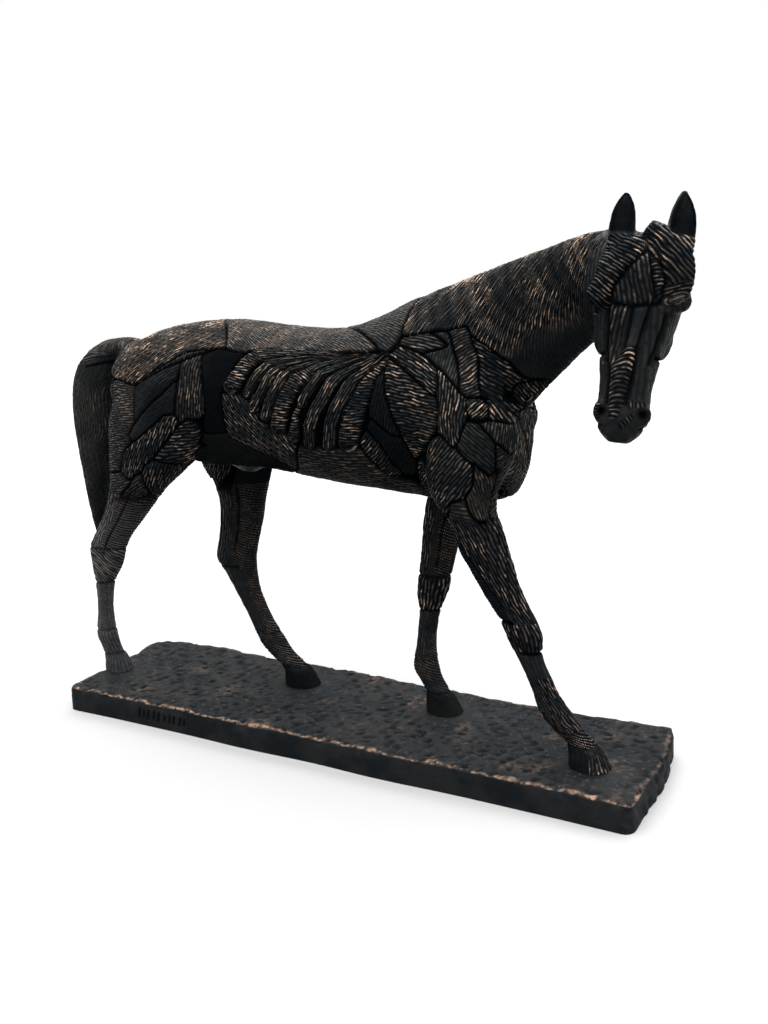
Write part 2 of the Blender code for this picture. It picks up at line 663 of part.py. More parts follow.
def plinth_size():
    """Length, width and middle of the plinth, from where the hooves stand."""
    heels = min(rows[-1][0] for rows in LEGS.values()) + HOOF[-1][0] - HOOF[-1][3]
    toes = max(rows[-1][0] for rows in LEGS.values()) + HOOF[-1][0] + HOOF[-1][3]
    sides = [rows[-1][1] for rows in LEGS.values()]
    length = (toes - heels) * SHARE + PLINTH_BEFORE_TOE + PLINTH_BEHIND_HEEL
    width = (max(sides) - min(sides) + 2 * HOOF[-1][2]) * SHARE + 2 * PLINTH_BESIDE_HOOF
    return length, width


def ripple(x, y, seed):
    """Uneven ground between 0 and 1: waves of many lengths and bearings laid over one another."""
    rng = np.random.default_rng(seed)
    total = 0.0
    for number in range(14):
        bearing = rng.uniform(0, math.tau)
        step = rng.uniform(90, 420)
        total += math.sin(step * (x * math.cos(bearing) + y * math.sin(bearing)) + rng.uniform(0, math.tau))
    return 0.5 + 0.5 * math.tanh(total / 3)


def ground_drop(x, y):
    """How far the ground lies below its highest level; level under every hoof."""
    near = 1.0
    for rows in LEGS.values():
        spot = share_point(rows[-1][0] + HOOF[-1][0], rows[-1][1], 0)
        near = min(near, max(0.0, math.hypot(x - spot.x, y - spot.y) / (7 * SHARE) - 0.9))
    return GROUND_RELIEF * ripple(x, y, 5) * near


def plinth_mesh():
    """A slab with uneven ground on top, worn upper edges, rounded corners and a flat underside."""
    length, width = plinth_size()
    worn = [0.0, 0.3 * EDGE_ROUND, EDGE_ROUND]
    spread_x = list(np.linspace(EDGE_ROUND * 3, length - EDGE_ROUND * 3, GROUND_COLUMNS))
    spread_y = list(np.linspace(EDGE_ROUND * 3, width - EDGE_ROUND * 3, GROUND_ROWS))
    across_x = worn + spread_x + [length - step for step in reversed(worn)]
    across_y = worn + spread_y + [width - step for step in reversed(worn)]
    bm = bmesh.new()

    def placed(x, y, z):
        """Rounds the corners of the outline and wears its long edges unevenly."""
        x, y = x - length / 2, y - width / 2
        corner = PLINTH_FAR_CORNER if x < 0 < y else 2.2 * EDGE_ROUND
        over_x, over_y = abs(x) - length / 2 + corner, abs(y) - width / 2 + corner
        if over_x > 0 and over_y > 0:
            shrink = max(over_x, over_y) / math.hypot(over_x, over_y)
            x = math.copysign(length / 2 - corner + over_x * shrink, x)
            y = math.copysign(width / 2 - corner + over_y * shrink, y)
        return bm.verts.new((x, y, z))

    def height(x, y):
        inset = min(x, y, length - x, width - y)
        over = max(0.0, 1 - inset / EDGE_ROUND)
        edge = EDGE_ROUND * (1 - math.sqrt(max(0.0, 1 - over ** 2)))
        wear = 0.6 * EDGE_ROUND * ripple(x + 1.0, y, 8) * max(0.0, 1 - inset / (4 * EDGE_ROUND))
        return PLINTH_THICKNESS - edge - wear - ground_drop(x - length / 2, y - width / 2)

    top = [[placed(x, y, height(x, y)) for y in across_y] for x in across_x]
    for first, second in zip(top, top[1:]):
        for a, b, c, d in zip(first, second, second[1:], first[1:]):
            bm.faces.new((a, b, c, d))
    last_x, last_y = len(across_x) - 1, len(across_y) - 1
    loop = [(i, 0) for i in range(last_x)] + [(last_x, j) for j in range(last_y)]
    loop += [(i, last_y) for i in range(last_x, 0, -1)] + [(0, j) for j in range(last_y, 0, -1)]
    rings = [[top[i][j] for i, j in loop]]
    for z, inset in ((0.5 * PLINTH_THICKNESS, 0.0), (0.0006, 0.0), (0.0, 0.0006)):
        scale = 1 - 2 * inset / length, 1 - 2 * inset / width
        ring = []
        for i, j in loop:
            vert = placed(across_x[i], across_y[j], z)
            vert.co.x, vert.co.y = vert.co.x * scale[0], vert.co.y * scale[1]
            ring.append(vert)
        rings.append(ring)
    for upper, lower in zip(rings, rings[1:]):
        for k in range(len(upper)):
            bm.faces.new((upper[k], lower[k], lower[k - 1], upper[k - 1]))
    base = dict(zip(loop, rings[-1]))
    for i in range(last_x):
        strip = [base[(i, 0)], base[(i + 1, 0)]]
        if i == last_x - 1:
            strip += [base[(last_x, j)] for j in range(1, last_y)]
        strip += [base[(i + 1, last_y)], base[(i, last_y)]]
        if i == 0:
            strip += [base[(0, j)] for j in range(last_y - 1, 0, -1)]
        bm.faces.new(strip)
    bmesh.ops.triangulate(bm, faces=bm.faces)
    bmesh.ops.recalc_face_normals(bm, faces=bm.faces)
    made = bpy.data.meshes.new("plinth")
    bm.to_mesh(made)
    bm.free()
    return made


def material(name, colour, roughness, metallic):
    """A plain Principled material."""
    made = bpy.data.materials.new(name)
    made.use_nodes = True
    shader = made.node_tree.nodes["Principled BSDF"]
    shader.inputs["Base Color"].default_value = (*colour, 1)
    shader.inputs["Roughness"].default_value = roughness
    shader.inputs["Metallic"].default_value = metallic
    return made


def main():
    for thing in list(bpy.data.objects):
        bpy.data.objects.remove(thing)
    for name, mesh, look in (
        ("horse", horse_mesh(), material("bronze_figure", (0.075, 0.056, 0.043), 0.42, 0.75)),
        ("plinth", plinth_mesh(), material("bronze_plinth", (0.060, 0.047, 0.038), 0.55, 0.65)),
    ):
        mesh.materials.clear()
        mesh.materials.append(look)
        made = bpy.data.objects.new(name, mesh)
        bpy.context.scene.collection.objects.link(made)


main()
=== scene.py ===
import json
import math

import bmesh
import bpy
import numpy as np
from mathutils import Matrix, Vector

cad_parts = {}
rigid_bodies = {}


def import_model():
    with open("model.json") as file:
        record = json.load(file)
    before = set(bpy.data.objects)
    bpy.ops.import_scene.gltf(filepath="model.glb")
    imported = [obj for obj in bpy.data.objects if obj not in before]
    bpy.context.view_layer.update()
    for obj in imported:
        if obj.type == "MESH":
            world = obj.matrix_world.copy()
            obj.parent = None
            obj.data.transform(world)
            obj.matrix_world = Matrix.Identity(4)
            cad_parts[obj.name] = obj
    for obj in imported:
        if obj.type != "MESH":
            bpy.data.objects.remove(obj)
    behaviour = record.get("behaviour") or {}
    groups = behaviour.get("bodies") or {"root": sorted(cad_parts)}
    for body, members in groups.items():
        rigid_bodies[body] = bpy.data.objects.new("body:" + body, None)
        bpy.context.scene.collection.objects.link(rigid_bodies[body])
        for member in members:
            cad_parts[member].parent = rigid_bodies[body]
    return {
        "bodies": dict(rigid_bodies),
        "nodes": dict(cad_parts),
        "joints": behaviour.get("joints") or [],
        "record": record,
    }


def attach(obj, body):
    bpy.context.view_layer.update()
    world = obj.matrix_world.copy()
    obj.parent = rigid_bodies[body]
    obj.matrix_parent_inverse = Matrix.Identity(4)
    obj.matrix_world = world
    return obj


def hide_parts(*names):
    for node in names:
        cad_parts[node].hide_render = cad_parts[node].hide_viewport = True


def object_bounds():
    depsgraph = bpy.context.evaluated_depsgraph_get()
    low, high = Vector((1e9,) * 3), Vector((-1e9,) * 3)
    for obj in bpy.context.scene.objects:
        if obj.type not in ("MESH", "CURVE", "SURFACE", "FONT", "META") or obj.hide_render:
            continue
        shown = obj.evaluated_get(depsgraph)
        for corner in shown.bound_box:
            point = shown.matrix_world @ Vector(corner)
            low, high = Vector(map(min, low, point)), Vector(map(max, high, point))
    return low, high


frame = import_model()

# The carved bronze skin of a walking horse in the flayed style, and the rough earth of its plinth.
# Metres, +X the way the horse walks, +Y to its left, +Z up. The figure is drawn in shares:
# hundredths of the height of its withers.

cad_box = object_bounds()

# Sizes in metres
WITHERS_HEIGHT = 0.234
PLINTH_THICKNESS = 0.0155
PLINTH_BEFORE_TOE = 0.0145
PLINTH_BEHIND_HEEL = 0.0
PLINTH_BESIDE_HOOF = 0.0180
PLINTH_CORNER = 0.0048
PLINTH_FAR_CORNER = 0.0140
PLINTH_EDGE = 0.0013
SEAT_GAP = 0.0003
FINE_GRAIN = 0.0007
EARTH_GRAIN = 0.00072
MELT_ALL = 20
MELT_BODY = 222
SEAM_DEPTH = 0.0016
SEAM_HALF_WIDTH = 0.0016
STRAND_DEPTH = 0.00058
PITCH_SCALE = 0.86
PLATE_GROWTH = 0.5
STROKE_LENGTH = 0.0105
ROW_PITCH = 0.0016
RIB_PITCH = 0.0015
EYE_PITCH = 0.0014
FOREHEAD_PITCH = 0.0020
NECK_PITCH = 0.0017
BROW_PITCH = 0.0017
NOSE_PITCH = 0.0019
CHEEK_PITCH = 0.0022
MUZZLE_PITCH = 0.0024
FIGURE_SLABS = 5

# Three short strokes on the muzzle, in shares left of the middle and down the face
MUZZLE_STROKES = [((1.3, 29.6), (3.5, 29.1)), ((0.3, 33.2), (1.7, 31.6)), ((-4.6, 29.5), (-4.2, 32.0))]

# A tally of short strokes on the near side of the plinth, none touching the next: forward place, foot,
# run and rise
STROKES = [
    (-0.1222, 0.0052, 0.0009, 0.0050),
    (-0.1187, 0.0060, 0.0008, 0.0034),
    (-0.1155, 0.0051, 0.0009, 0.0047),
    (-0.1109, 0.0055, 0.0008, 0.0040),
    (-0.1074, 0.0049, 0.0009, 0.0048),
    (-0.1027, 0.0056, 0.0007, 0.0032),
    (-0.0990, 0.0048, 0.0009, 0.0047),
    (-0.0957, 0.0050, 0.0008, 0.0042),
    (-0.0911, 0.0048, 0.0009, 0.0045),
    (-0.0878, 0.0054, 0.0007, 0.0033),
]

# The mound along the far edge of the plinth: forward place and rise
MOUND = [
    (-0.190, 0.0010), (-0.170, 0.0022), (-0.130, 0.0034), (-0.095, 0.0021), (-0.050, 0.0023), (0.0, 0.0017),
    (0.020, 0.0008), (0.060, 0.0003), (0.090, -0.0008), (0.137, 0.0), (0.165, 0.0008), (0.190, 0.0006)
]

# Camera: place, then yaw, pitch and roll in degrees, then focal length in pixels of a picture 768 wide
CAMERA_PLACE = (0.272, -0.461, 0.249)
CAMERA_TURN = (27.92, 12.32, -1.84)
FOCAL_PIXELS = 961.0

# Colours and light
# Near black laid as painted shade: seams, carvings, ear hollows and shaded plates of the figure, pits and
# strokes of the plinth
HOLLOW_SHADE = (0.0004, 0.0006, 0.0009)
# Painted shade in the troughs between strands
TROUGH_SHADE = (0.0014, 0.0019, 0.0024)
DARK_PATINA = (0.0030, 0.0042, 0.0054)
BROWN_PATINA = (0.0078, 0.0081, 0.0079)
# Copper on the crests of the strands: partly real wear, partly painted glints
COPPER_AND_GLINT = (0.44, 0.30, 0.205)
DARK_EARTH = (0.0034, 0.0045, 0.0055)
BROWN_EARTH = (0.0074, 0.0078, 0.0082)
# Painted highlights: pale specks on the upward faces of the earth
EARTH_GLINT_SPECK = (0.030, 0.026, 0.023)
# Copper on the upper edges of the plinth: worn copper, brighter on the near edge as a painted highlight
EDGE_COPPER_AND_HIGHLIGHT = (0.15, 0.098, 0.068)
# Painted sheen: a pale grey laid on smooth places where the strands are faint
PALE_SHEEN = (0.26, 0.26, 0.265)
# Lighter grey on the rubbed near hind leg: partly rubbed wear, partly painted sheen
RUBBED_SHEEN = (0.034, 0.034, 0.037)
FIGURE_SHEEN = 0.115
EARTH_SHEEN = 0.03
FLOOR_COLOUR = (0.222, 0.222, 0.222, 1)
SKY = (1.0, 9.0)

SHARE = WITHERS_HEIGHT / 100
RING_SIDES = 32

# Trunk stations: forward place, left of the middle, height, half width, half depth, pinch of the top
TRUNK = [
    (-65.0, 0, 80.0, 3.5, 4.0, 0.0),
    (-62.5, 0, 80.0, 9.0, 9.5, 0.0),
    (-57.0, 0, 78.5, 13.0, 13.6, 0.0),
    (-48.0, 0, 78.2, 15.5, 16.9, 0.05),
    (-36.0, 0, 78.4, 15.8, 18.3, 0.10),
    (-24.0, 0, 78.6, 14.8, 18.1, 0.08),
    (-10.0, 0, 77.0, 15.6, 17.9, 0.02),
    (4.0, 0, 75.9, 16.6, 18.4, 0.0),
    (15.0, 0, 76.9, 16.2, 20.4, 0.15),
    (25.0, 0, 78.2, 14.8, 22.9, 0.38),
    (34.0, 0, 76.5, 14.2, 21.6, 0.40),
    (41.0, 0, 74.0, 12.9, 18.2, 0.35),
    (44.9, 0, 71.3, 10.4, 14.0, 0.25),
    (47.0, 0, 69.7, 6.1, 7.7, 0.0),
]

NECK = [
    (22.0, 0, 80.2, 12.5, 18.4, 0.45),
    (34.0, 0, 86.4, 11.6, 17.2, 0.5),
    (46.0, -1.0, 93.4, 8.4, 14.1, 0.45),
    (57.0, -4.5, 99.1, 6.4, 11.2, 0.35),
    (66.0, -10.5, 102.6, 5.6, 9.2, 0.25),
    (73.0, -16.5, 102.5, 5.6, 8.0, 0.1),
    (76.0, -20.0, 100.5, 4.5, 5.5, 0.0),
]

# Leg stations, from the top down: forward, left, height, half width, half depth
NEAR_FORE = [
    (24.0, -4.5, 96.0, 1.5, 2.5),
    (27.0, -7.0, 91.0, 3.4, 5.0),
    (31.5, -9.0, 84.0, 5.4, 8.2),
    (37.5, -9.8, 75.0, 6.4, 10.8),
    (38.5, -10.3, 68.0, 6.2, 10.2),
    (37.0, -10.8, 62.0, 5.6, 8.8),
    (37.7, -11.0, 56.4, 4.8, 6.7),
    (40.2, -10.8, 51.1, 4.2, 5.8),
    (41.6, -10.6, 46.6, 3.8, 5.7),
    (43.8, -10.3, 41.4, 3.4, 4.9),
    (46.2, -10.0, 36.4, 3.1, 4.4),
    (48.8, -9.7, 31.9, 3.2, 4.1),
    (50.2, -9.5, 28.3, 3.3, 4.0),
    (51.1, -9.2, 24.4, 2.5, 3.0),
    (53.1, -8.9, 19.5, 2.2, 2.7),
    (55.2, -8.6, 14.7, 2.3, 3.0),
    (57.4, -8.3, 10.6, 2.9, 3.7),
    (59.6, -8.0, 7.9, 2.7, 3.3),
    (62.0, -7.8, 5.6, 2.8, 3.2),
    (63.4, -7.6, 3.6, 3.3, 3.6),
]
FAR_FORE = [
    (24.0, 4.5, 96.0, 1.5, 2.5),
    (27.0, 7.0, 91.0, 3.4, 5.0),
    (31.5, 9.0, 84.0, 5.4, 8.2),
    (36.0, 9.8, 75.0, 6.4, 10.8),
    (33.0, 10.3, 67.0, 6.2, 10.2),
    (27.5, 10.8, 60.0, 5.4, 7.1),
    (23.9, 10.5, 52.5, 4.4, 5.4),
    (22.6, 9.9, 46.3, 3.9, 4.9),
    (21.9, 9.5, 41.2, 3.6, 4.6),
    (20.8, 9.2, 34.8, 3.3, 4.2),
    (20.1, 8.8, 30.2, 3.3, 4.0),
    (19.5, 8.5, 25.6, 2.6, 2.8),
    (18.9, 8.1, 21.0, 2.1, 2.5),
    (18.5, 7.8, 15.6, 2.2, 2.6),
    (18.5, 7.5, 10.6, 2.9, 3.3),
    (19.9, 7.2, 7.7, 2.7, 3.0),
    (21.7, 6.8, 5.4, 2.8, 3.0),
    (22.8, 6.4, 3.6, 3.3, 3.6),
]
NEAR_HIND = [
    (-32.0, -7.0, 94.0, 1.6, 4.0),
    (-35.0, -8.6, 89.5, 4.2, 9.0),
    (-40.0, -9.8, 82.0, 6.4, 14.0),
    (-44.5, -10.4, 74.0, 7.0, 16.4),
    (-46.5, -11.2, 66.0, 6.8, 14.6),
    (-49.4, -11.6, 60.5, 6.0, 12.2),
    (-52.5, -11.6, 56.0, 5.2, 9.0),
    (-56.5, -11.0, 51.0, 4.5, 7.3),
    (-60.5, -10.4, 46.2, 3.9, 6.3),
    (-64.8, -9.8, 41.5, 3.4, 5.8),
    (-67.9, -9.2, 37.2, 3.2, 5.9),
    (-69.2, -8.5, 32.6, 3.3, 4.8),
    (-71.2, -7.8, 28.1, 2.7, 3.1),
    (-72.6, -7.1, 23.4, 2.2, 2.4),
    (-73.8, -6.4, 17.1, 2.1, 2.3),
    (-74.5, -5.8, 11.0, 2.7, 3.0),
    (-74.5, -5.1, 8.0, 2.5, 2.8),
    (-74.3, -4.4, 5.6, 2.6, 2.8),
    (-73.9, -3.9, 3.6, 3.0, 3.2),
]
FAR_HIND = [
    (-32.0, 7.0, 94.0, 1.6, 4.0),
    (-35.0, 8.6, 89.5, 4.2, 9.0),
    (-39.0, 9.8, 82.0, 6.4, 14.0),
    (-41.0, 10.4, 74.0, 7.0, 16.0),
    (-39.5, 11.2, 66.0, 6.8, 14.0),
    (-38.8, 11.4, 59.0, 6.0, 11.6),
    (-37.7, 11.0, 53.9, 5.0, 9.1),
    (-36.9, 10.6, 48.9, 4.4, 7.1),
    (-37.4, 10.2, 42.7, 3.7, 6.6),
    (-38.7, 9.9, 36.9, 3.3, 6.3),
    (-39.4, 9.6, 32.0, 3.3, 6.3),
    (-37.7, 9.3, 28.3, 2.9, 5.0),
    (-35.4, 9.0, 23.0, 2.3, 4.0),
    (-31.9, 8.7, 16.8, 2.3, 3.6),
    (-28.2, 8.4, 10.9, 2.8, 4.0),
    (-25.6, 8.2, 7.9, 2.7, 3.8),
    (-22.3, 7.9, 5.6, 2.8, 3.7),
    (-19.6, 7.6, 3.6, 3.3, 3.8),
]
LEGS = {"near_fore": NEAR_FORE, "far_fore": FAR_FORE, "near_hind": NEAR_HIND, "far_hind": FAR_HIND}

TAIL = [
    (-56.0, 0, 88.5, 3.6, 3.2),
    (-62.0, 0, 90.0, 3.4, 3.0),
    (-68.0, 0, 89.2, 3.4, 3.4),
    (-72.6, 0, 85.6, 3.9, 5.4),
    (-75.9, 0, 80.8, 4.3, 6.5),
    (-77.0, 0, 74.5, 4.6, 6.7),
    (-77.4, 0, 66.5, 4.6, 6.1),
    (-78.0, 0, 57.7, 4.0, 4.5),
    (-78.5, 0, 48.2, 2.9, 3.1),
    (-79.0, 0, 41.0, 1.7, 1.8),
    (-79.3, 0, 37.0, 0.7, 0.7),
]

# Head stations: down the face from the poll, half width, front of the axis, back of the axis
HEAD_PLACE = (76.0, -18.5, 109.0)
HEAD_TURN = -77.0
HEAD_NOD = 10.0
HEAD_LEAN = 6.4
HEAD = [
    (-1.2, 3.0, 1.0, 3.0),
    (0.2, 5.2, 2.8, 6.0),
    (2.9, 7.0, 4.4, 8.2),
    (6.1, 7.9, 5.2, 10.4),
    (9.5, 8.2, 5.3, 12.0),
    (12.9, 7.7, 4.9, 12.8),
    (16.3, 6.9, 4.3, 12.0),
    (19.5, 5.8, 3.8, 9.8),
    (23.0, 5.1, 3.4, 7.2),
    (26.6, 4.6, 3.2, 6.0),
    (29.8, 4.8, 3.2, 6.0),
    (32.3, 4.8, 2.9, 5.8),
    (34.7, 3.5, 1.6, 4.8),
    (36.2, 1.8, 0.2, 3.2),
]
EAR_SPREAD = 5.5
EAR_SHIFT = 0.5
EAR_TURN = {-1: (0.6, 0.95, 0.92), 1: (0.0, 1.0, 1.0)}
EAR = [
    (-1.5, 2.2, 2.4),
    (0.0, 2.4, 2.5),
    (2.0, 2.5, 2.3),
    (4.5, 2.4, 1.9),
    (7.0, 1.9, 1.5),
    (8.8, 1.1, 1.0),
    (10.0, 0.5, 0.5),
]

# Ridges of the face: left of the middle, front of the axis, down the face, radius
BROWS = {
    -1: [
        (-2.0, 2.3, 0.9, 2.2),
        (-4.2, 2.4, 5.0, 3.0),
        (-5.5, 2.0, 8.6, 2.8),
        (-6.0, 1.8, 12.2, 1.6),
    ],
    1: [
        (-0.2, 1.7, -1.1, 2.2),
        (3.8, 2.0, 1.0, 2.7),
        (6.0, 1.9, 4.2, 2.9),
        (6.8, 1.7, 7.4, 2.4),
        (6.9, 1.6, 9.4, 1.6),
    ],
}
NOSE_BRIDGE = [
    (0.9, 3.6, 12.8, 1.3),
    (0.5, 3.4, 17.0, 1.5),
    (-0.4, 2.9, 22.0, 1.6),
    (-1.1, 2.6, 26.0, 1.5),
    (-1.2, 2.2, 29.5, 1.2),
]

# Rounded masses of the head: down the face, left of the middle, front of the axis, radius, drawn out by
EYE = (10.4, 7.1, 1.2, 2.2, 1.0)
CHEEK_BULGE = (16.6, 3.3, -5.6, 3.9, 1.25)
NOSTRIL_WING = (31.0, 3.5, 0.9, 1.7, 1.3)
NOSTRIL = (30.9, 3.7, 2.4, 1.0)
NOSTRIL_DEPTH = 1.1
EAR_HOLLOW = 1.7
EAR_RIM = 0.45

# The sheath under the belly: forward, left, height, radius, drawn out by
SHEATH = (-24.6, -1.8, 61.6, 2.9, 1.6)

# Hoof rings for a pastern of full depth: forward of the leg's last station, height, half width, half length
FULL_PASTERN = 3.6
HOOF = [
    (-0.4, 4.8, 2.8, 3.1),
    (-0.1, 3.9, 3.3, 3.6),
    (0.6, 1.6, 3.8, 4.3),
    (1.1, -0.2, 4.1, 4.7),
    (1.4, -2.0, 4.2, 4.9),
]

# The flank chart: back, belly and breast are rolled out flat beside the sides
UNROLL = 0.8
UNROLL_HALF_WIDTH = 16.5

# Seams round and along the legs: height of each ring, between which bearings off the front it runs and how
# deep it is; bearings of the lines, and how high the lines start
LEG_TOP = 54.0
RING_SEAMS = {
    "near_fore": ((31.8, 92, 180, 1.5), (25.0, 0, 105, 0.9), (5.0, 60, 180, 0.4)),
    "far_fore": ((34.2, 0, 180, 0.6), (25.4, 0, 180, 0.6), (12.6, 0, 180, 0.25), (5.0, 0, 180, 0.4)),
    "near_hind": ((37.5, 0, 180, 0.45), (27.0, 0, 180, 0.55), (12.6, 0, 180, 0.35), (5.0, 0, 180, 0.4)),
    "far_hind": ((30.5, 60, 180, 0.4), (13.0, 0, 100, 0.3), (5.0, 0, 180, 0.4)),
}
LINE_SEAMS = (25.0, 118.0, 205.0, 292.0)
NEAR_ELBOW_SEAM = ((32, -85), (50, -150))
LINE_FOOT = 37.0

# Strands of the legs, each row over the ones before it: below which height, round which bearing and how far
# to each side of it, level rows or lines down the leg, lines round the leg, their lean, how strongly they
# stand out and how much copper shows, as one number or by how far round the leg; copper below 0 is painted
# shade
LEG_STRANDS = {
    "near_fore": [
        (54.0, 0, 181, "down", 34, 0.15, 1.0, 0.6),
        (31.8, 0, 181, "down", 26, 0.05, 1.0, 0.75),
        (25.0, 0, 181, "down", 18, 0, 0.35, 0.2),
        (20.0, 0, 95, "down", 24, 0.14, 1.0, 0.85),
        (12.0, 0, 181, "down", 26, 0.18, 1.0, 0.8),
        (8.2, 0, 181, "level", 0, 0, 1.0, 1.0),
        (5.0, 0, 181, "down", 18, 0, 0.25, -0.35),
        (5.0, -5, 62, "down", 34, 0, 0.9, 0.6),
    ],
    "far_fore": [
        (54.0, 0, 181, "down", 34, 0.05, 0.9, 0.4),
        (54.0, 0, 100, "down", 18, 0, 0.3, -0.10),
        (54.0, -50, 34, "level", 0, 0, 0.9, 0.5),
        (34.2, 0, 181, "down", 20, 0.02, 1.0, 1.1),
        (25.4, 0, 181, "down", 18, 0, 0.4, 0.2),
        (25.4, -25, 36, "level", 0, 0, 0.7, 0.4),
        (13.6, 0, 181, "level", 0, 0, 0.8, 0.5),
        (8.0, 0, 181, "level", 0, 0, 0.6, 0.1),
        (4.6, 0, 181, "down", 38, 0, 0.25, -0.35),
    ],
    "near_hind": [
        (54.0, 0, 181, "down", 30, 0.10, 0.7, ((70, -0.05), (100, 0.45))),
        (54.0, -35, 62, "level", 0, 0, 0.85, 0.35),
        (37.5, 0, 181, "aslant", 12, 0, 0.8, 0.5),
        (27.0, 0, 181, "down", 18, 0, 0.35, 0.5),
        (27.0, -55, 26, "level", 0, 0, 0.7, 0.4),
        (12.6, 0, 181, "down", 18, 0.05, 0.45, 0.3),
        (4.8, 0, 181, "down", 24, 0, 0.4, 0.1),
    ],
    "far_hind": [
        (54.0, 0, 181, "down", 30, 0.05, 0.5, 0.15),
        (54.0, -15, 78, "level", 0, 0, 0.8, 0.35),
        (31.0, 0, 181, "down", 18, 0, 0.35, 0.1),
        (31.0, 5, 62, "level", 0, 0, 0.85, 0.45),
        (13.6, 0, 181, "level", 0, 0, 0.9, 0.45),
        (4.8, 0, 181, "down", 38, 0, 0.3, -0.35),
    ],
}

# How far the near hind leg is rubbed smooth and lightened with a painted sheen, by height
RUBBED_SHEEN_LEG = ((2, 0.5), (8, 1), (44, 1), (LEG_TOP, 0))

# Seams on the face, as lines in shares left of the middle and down the face
FACE_SEAMS = [
    [(0.6, 2.4), (-1.9, 5.4), (-4.3, 9.3), (-4.6, 12.1)],
    [(0.6, 2.4), (3.3, 4.8), (4.5, 7.6), (4.0, 11.6)],
    [(-4.6, 12.1), (-1.0, 12.7), (4.0, 11.6)],
    [(1.2, 4.0), (3.1, 10.8)],
    [(-0.5, 12.7), (-0.9, 17.0), (-1.4, 20.8)],
    [(2.4, 12.3), (1.3, 19.3), (1.2, 23.5), (0.5, 29.5)],
    [(-4.8, 12.1), (-4.3, 20.0), (-3.3, 24.0), (-3.0, 29.5)],
    [(5.4, 13.2), (4.6, 17.5), (3.6, 22.0)],
]
NOSE_SLANT = ((13.0, 1.0), (19.0, 0.1), (24.0, -1.0), (32.0, -1.3))
MOUTH = (33.2, 1.2)
JAW_NOTCH = 20.7


def share_point(x, y, z):
    """A place on the figure, in metres, from its shares; heights count from the soles."""
    return Vector((x * SHARE, y * SHARE, z * SHARE + PLINTH_THICKNESS + SEAT_GAP))


def smooth_rows(rows, steps):
    """Catmull-Rom curve through the rows of a station table."""
    rows = np.array(rows, float)
    padded = np.vstack([2 * rows[0] - rows[1], rows, 2 * rows[-1] - rows[-2]])
    found = []
    for before, start, end, after in zip(padded, padded[1:], padded[2:], padded[3:]):
        for t in np.arange(steps) / steps:
            found.append(
                0.5 * (2 * start + (end - before) * t
                       + (2 * before - 5 * start + 4 * end - after) * t * t
                       + (3 * start - before - 3 * end + after) * t ** 3)
            )
    return np.array(found + [rows[-1]])


def add_ring(bm, place, half_width, half_depth, pinch=0.0, capped=False):
    """An oval ring in its own XY plane, narrowed towards +Y by pinch, then placed."""
    made = bmesh.ops.create_circle(bm, cap_ends=capped, segments=RING_SIDES, radius=1.0)
    for vert in made["verts"]:
        vert.co.x *= (1 - pinch * max(0.0, vert.co.y) ** 2) * half_width
        vert.co.y *= half_depth
    bmesh.ops.transform(bm, matrix=place, verts=made["verts"])
    return [e for e in {e for v in made["verts"] for e in v.link_edges}]


def add_tube(bm, rings):
    """Bridges placed rings into one closed tube. Each ring is (matrix, half width, half depth, pinch)."""
    before = None
    for number, (place, half_width, half_depth, pinch) in enumerate(rings):
        edges = add_ring(bm, place, half_width, half_depth, pinch, number in (0, len(rings) - 1))
        if before:
            bmesh.ops.bridge_loops(bm, edges=before + edges)
        before = edges


def facing(centre, normal, across):
    """Places a ring at centre, square to normal, with its X nearest to across."""
    normal = normal.normalized()
    across = (across - normal * across.dot(normal)).normalized()
    up = normal.cross(across)
    return Matrix.Translation(centre) @ Matrix((across, up, normal)).transposed().to_4x4()


def body_rings(rows, steps=3, along=None):
    """Rings of a trunk, neck or tail: square to the curve, or to along where it is given."""
    rows = smooth_rows(rows, steps)
    centres = [share_point(*row[:3]) for row in rows]
    rings = []
    for number, (centre, row) in enumerate(zip(centres, rows)):
        ahead = centres[min(number + 1, len(centres) - 1)] - centres[max(number - 1, 0)]
        place = facing(centre, along or ahead, Vector((0, -1, 0)))
        pinch = row[5] if len(row) > 5 else 0.0
        rings.append((place, row[3] * SHARE, row[4] * SHARE, pinch))
    return rings


def leg_rings(rows):
    """Level rings down a leg."""
    return [
        (facing(share_point(*row[:3]), Vector((0, 0, -1)), Vector((0, 1, 0))),
         row[3] * SHARE, row[4] * SHARE, 0.0)
        for row in smooth_rows(rows, 3)
    ]


def hoof_rings(leg):
    """Level rings of the hoof under a leg, reaching a little below the soles."""
    ankle = leg[-1]
    size = ankle[4] / FULL_PASTERN
    rings = []
    for ahead, height, half_width, half_length in smooth_rows(HOOF, 2):
        centre = share_point(ankle[0] + ahead * size, ankle[1], height)
        place = facing(centre, Vector((0, 0, -1)), Vector((0, 1, 0)))
        rings.append((place, half_width * size * SHARE, half_length * size * SHARE, 0.0))
    return rings


def head_frame():
    """The head's own frame: X to its left, Y out of the face, Z down the face, from the poll."""
    turn = math.radians(HEAD_TURN)
    ahead = Vector((math.cos(turn), math.sin(turn), 0))
    left = Vector((-ahead.y, ahead.x, 0))
    nod = math.radians(HEAD_NOD)
    down = Vector((0, 0, -1)) * math.cos(nod) + ahead * math.sin(nod)
    down = (down - left * math.tan(math.radians(HEAD_LEAN))).normalized()
    left = (left - down * left.dot(down)).normalized()
    face = down.cross(left)
    turned = Matrix((left, face, down)).transposed().to_4x4()
    return Matrix.Translation(share_point(*HEAD_PLACE)) @ turned


def head_rings(frame):
    """Rings down the head, square to its axis."""
    rings = []
    for down, half_width, front, back in smooth_rows(HEAD, 2):
        centre = Matrix.Translation(Vector((0, (front - back) / 2, down)) * SHARE)
        rings.append((frame @ centre, half_width * SHARE, (front + back) / 2 * SHARE, 0.0))
    return rings


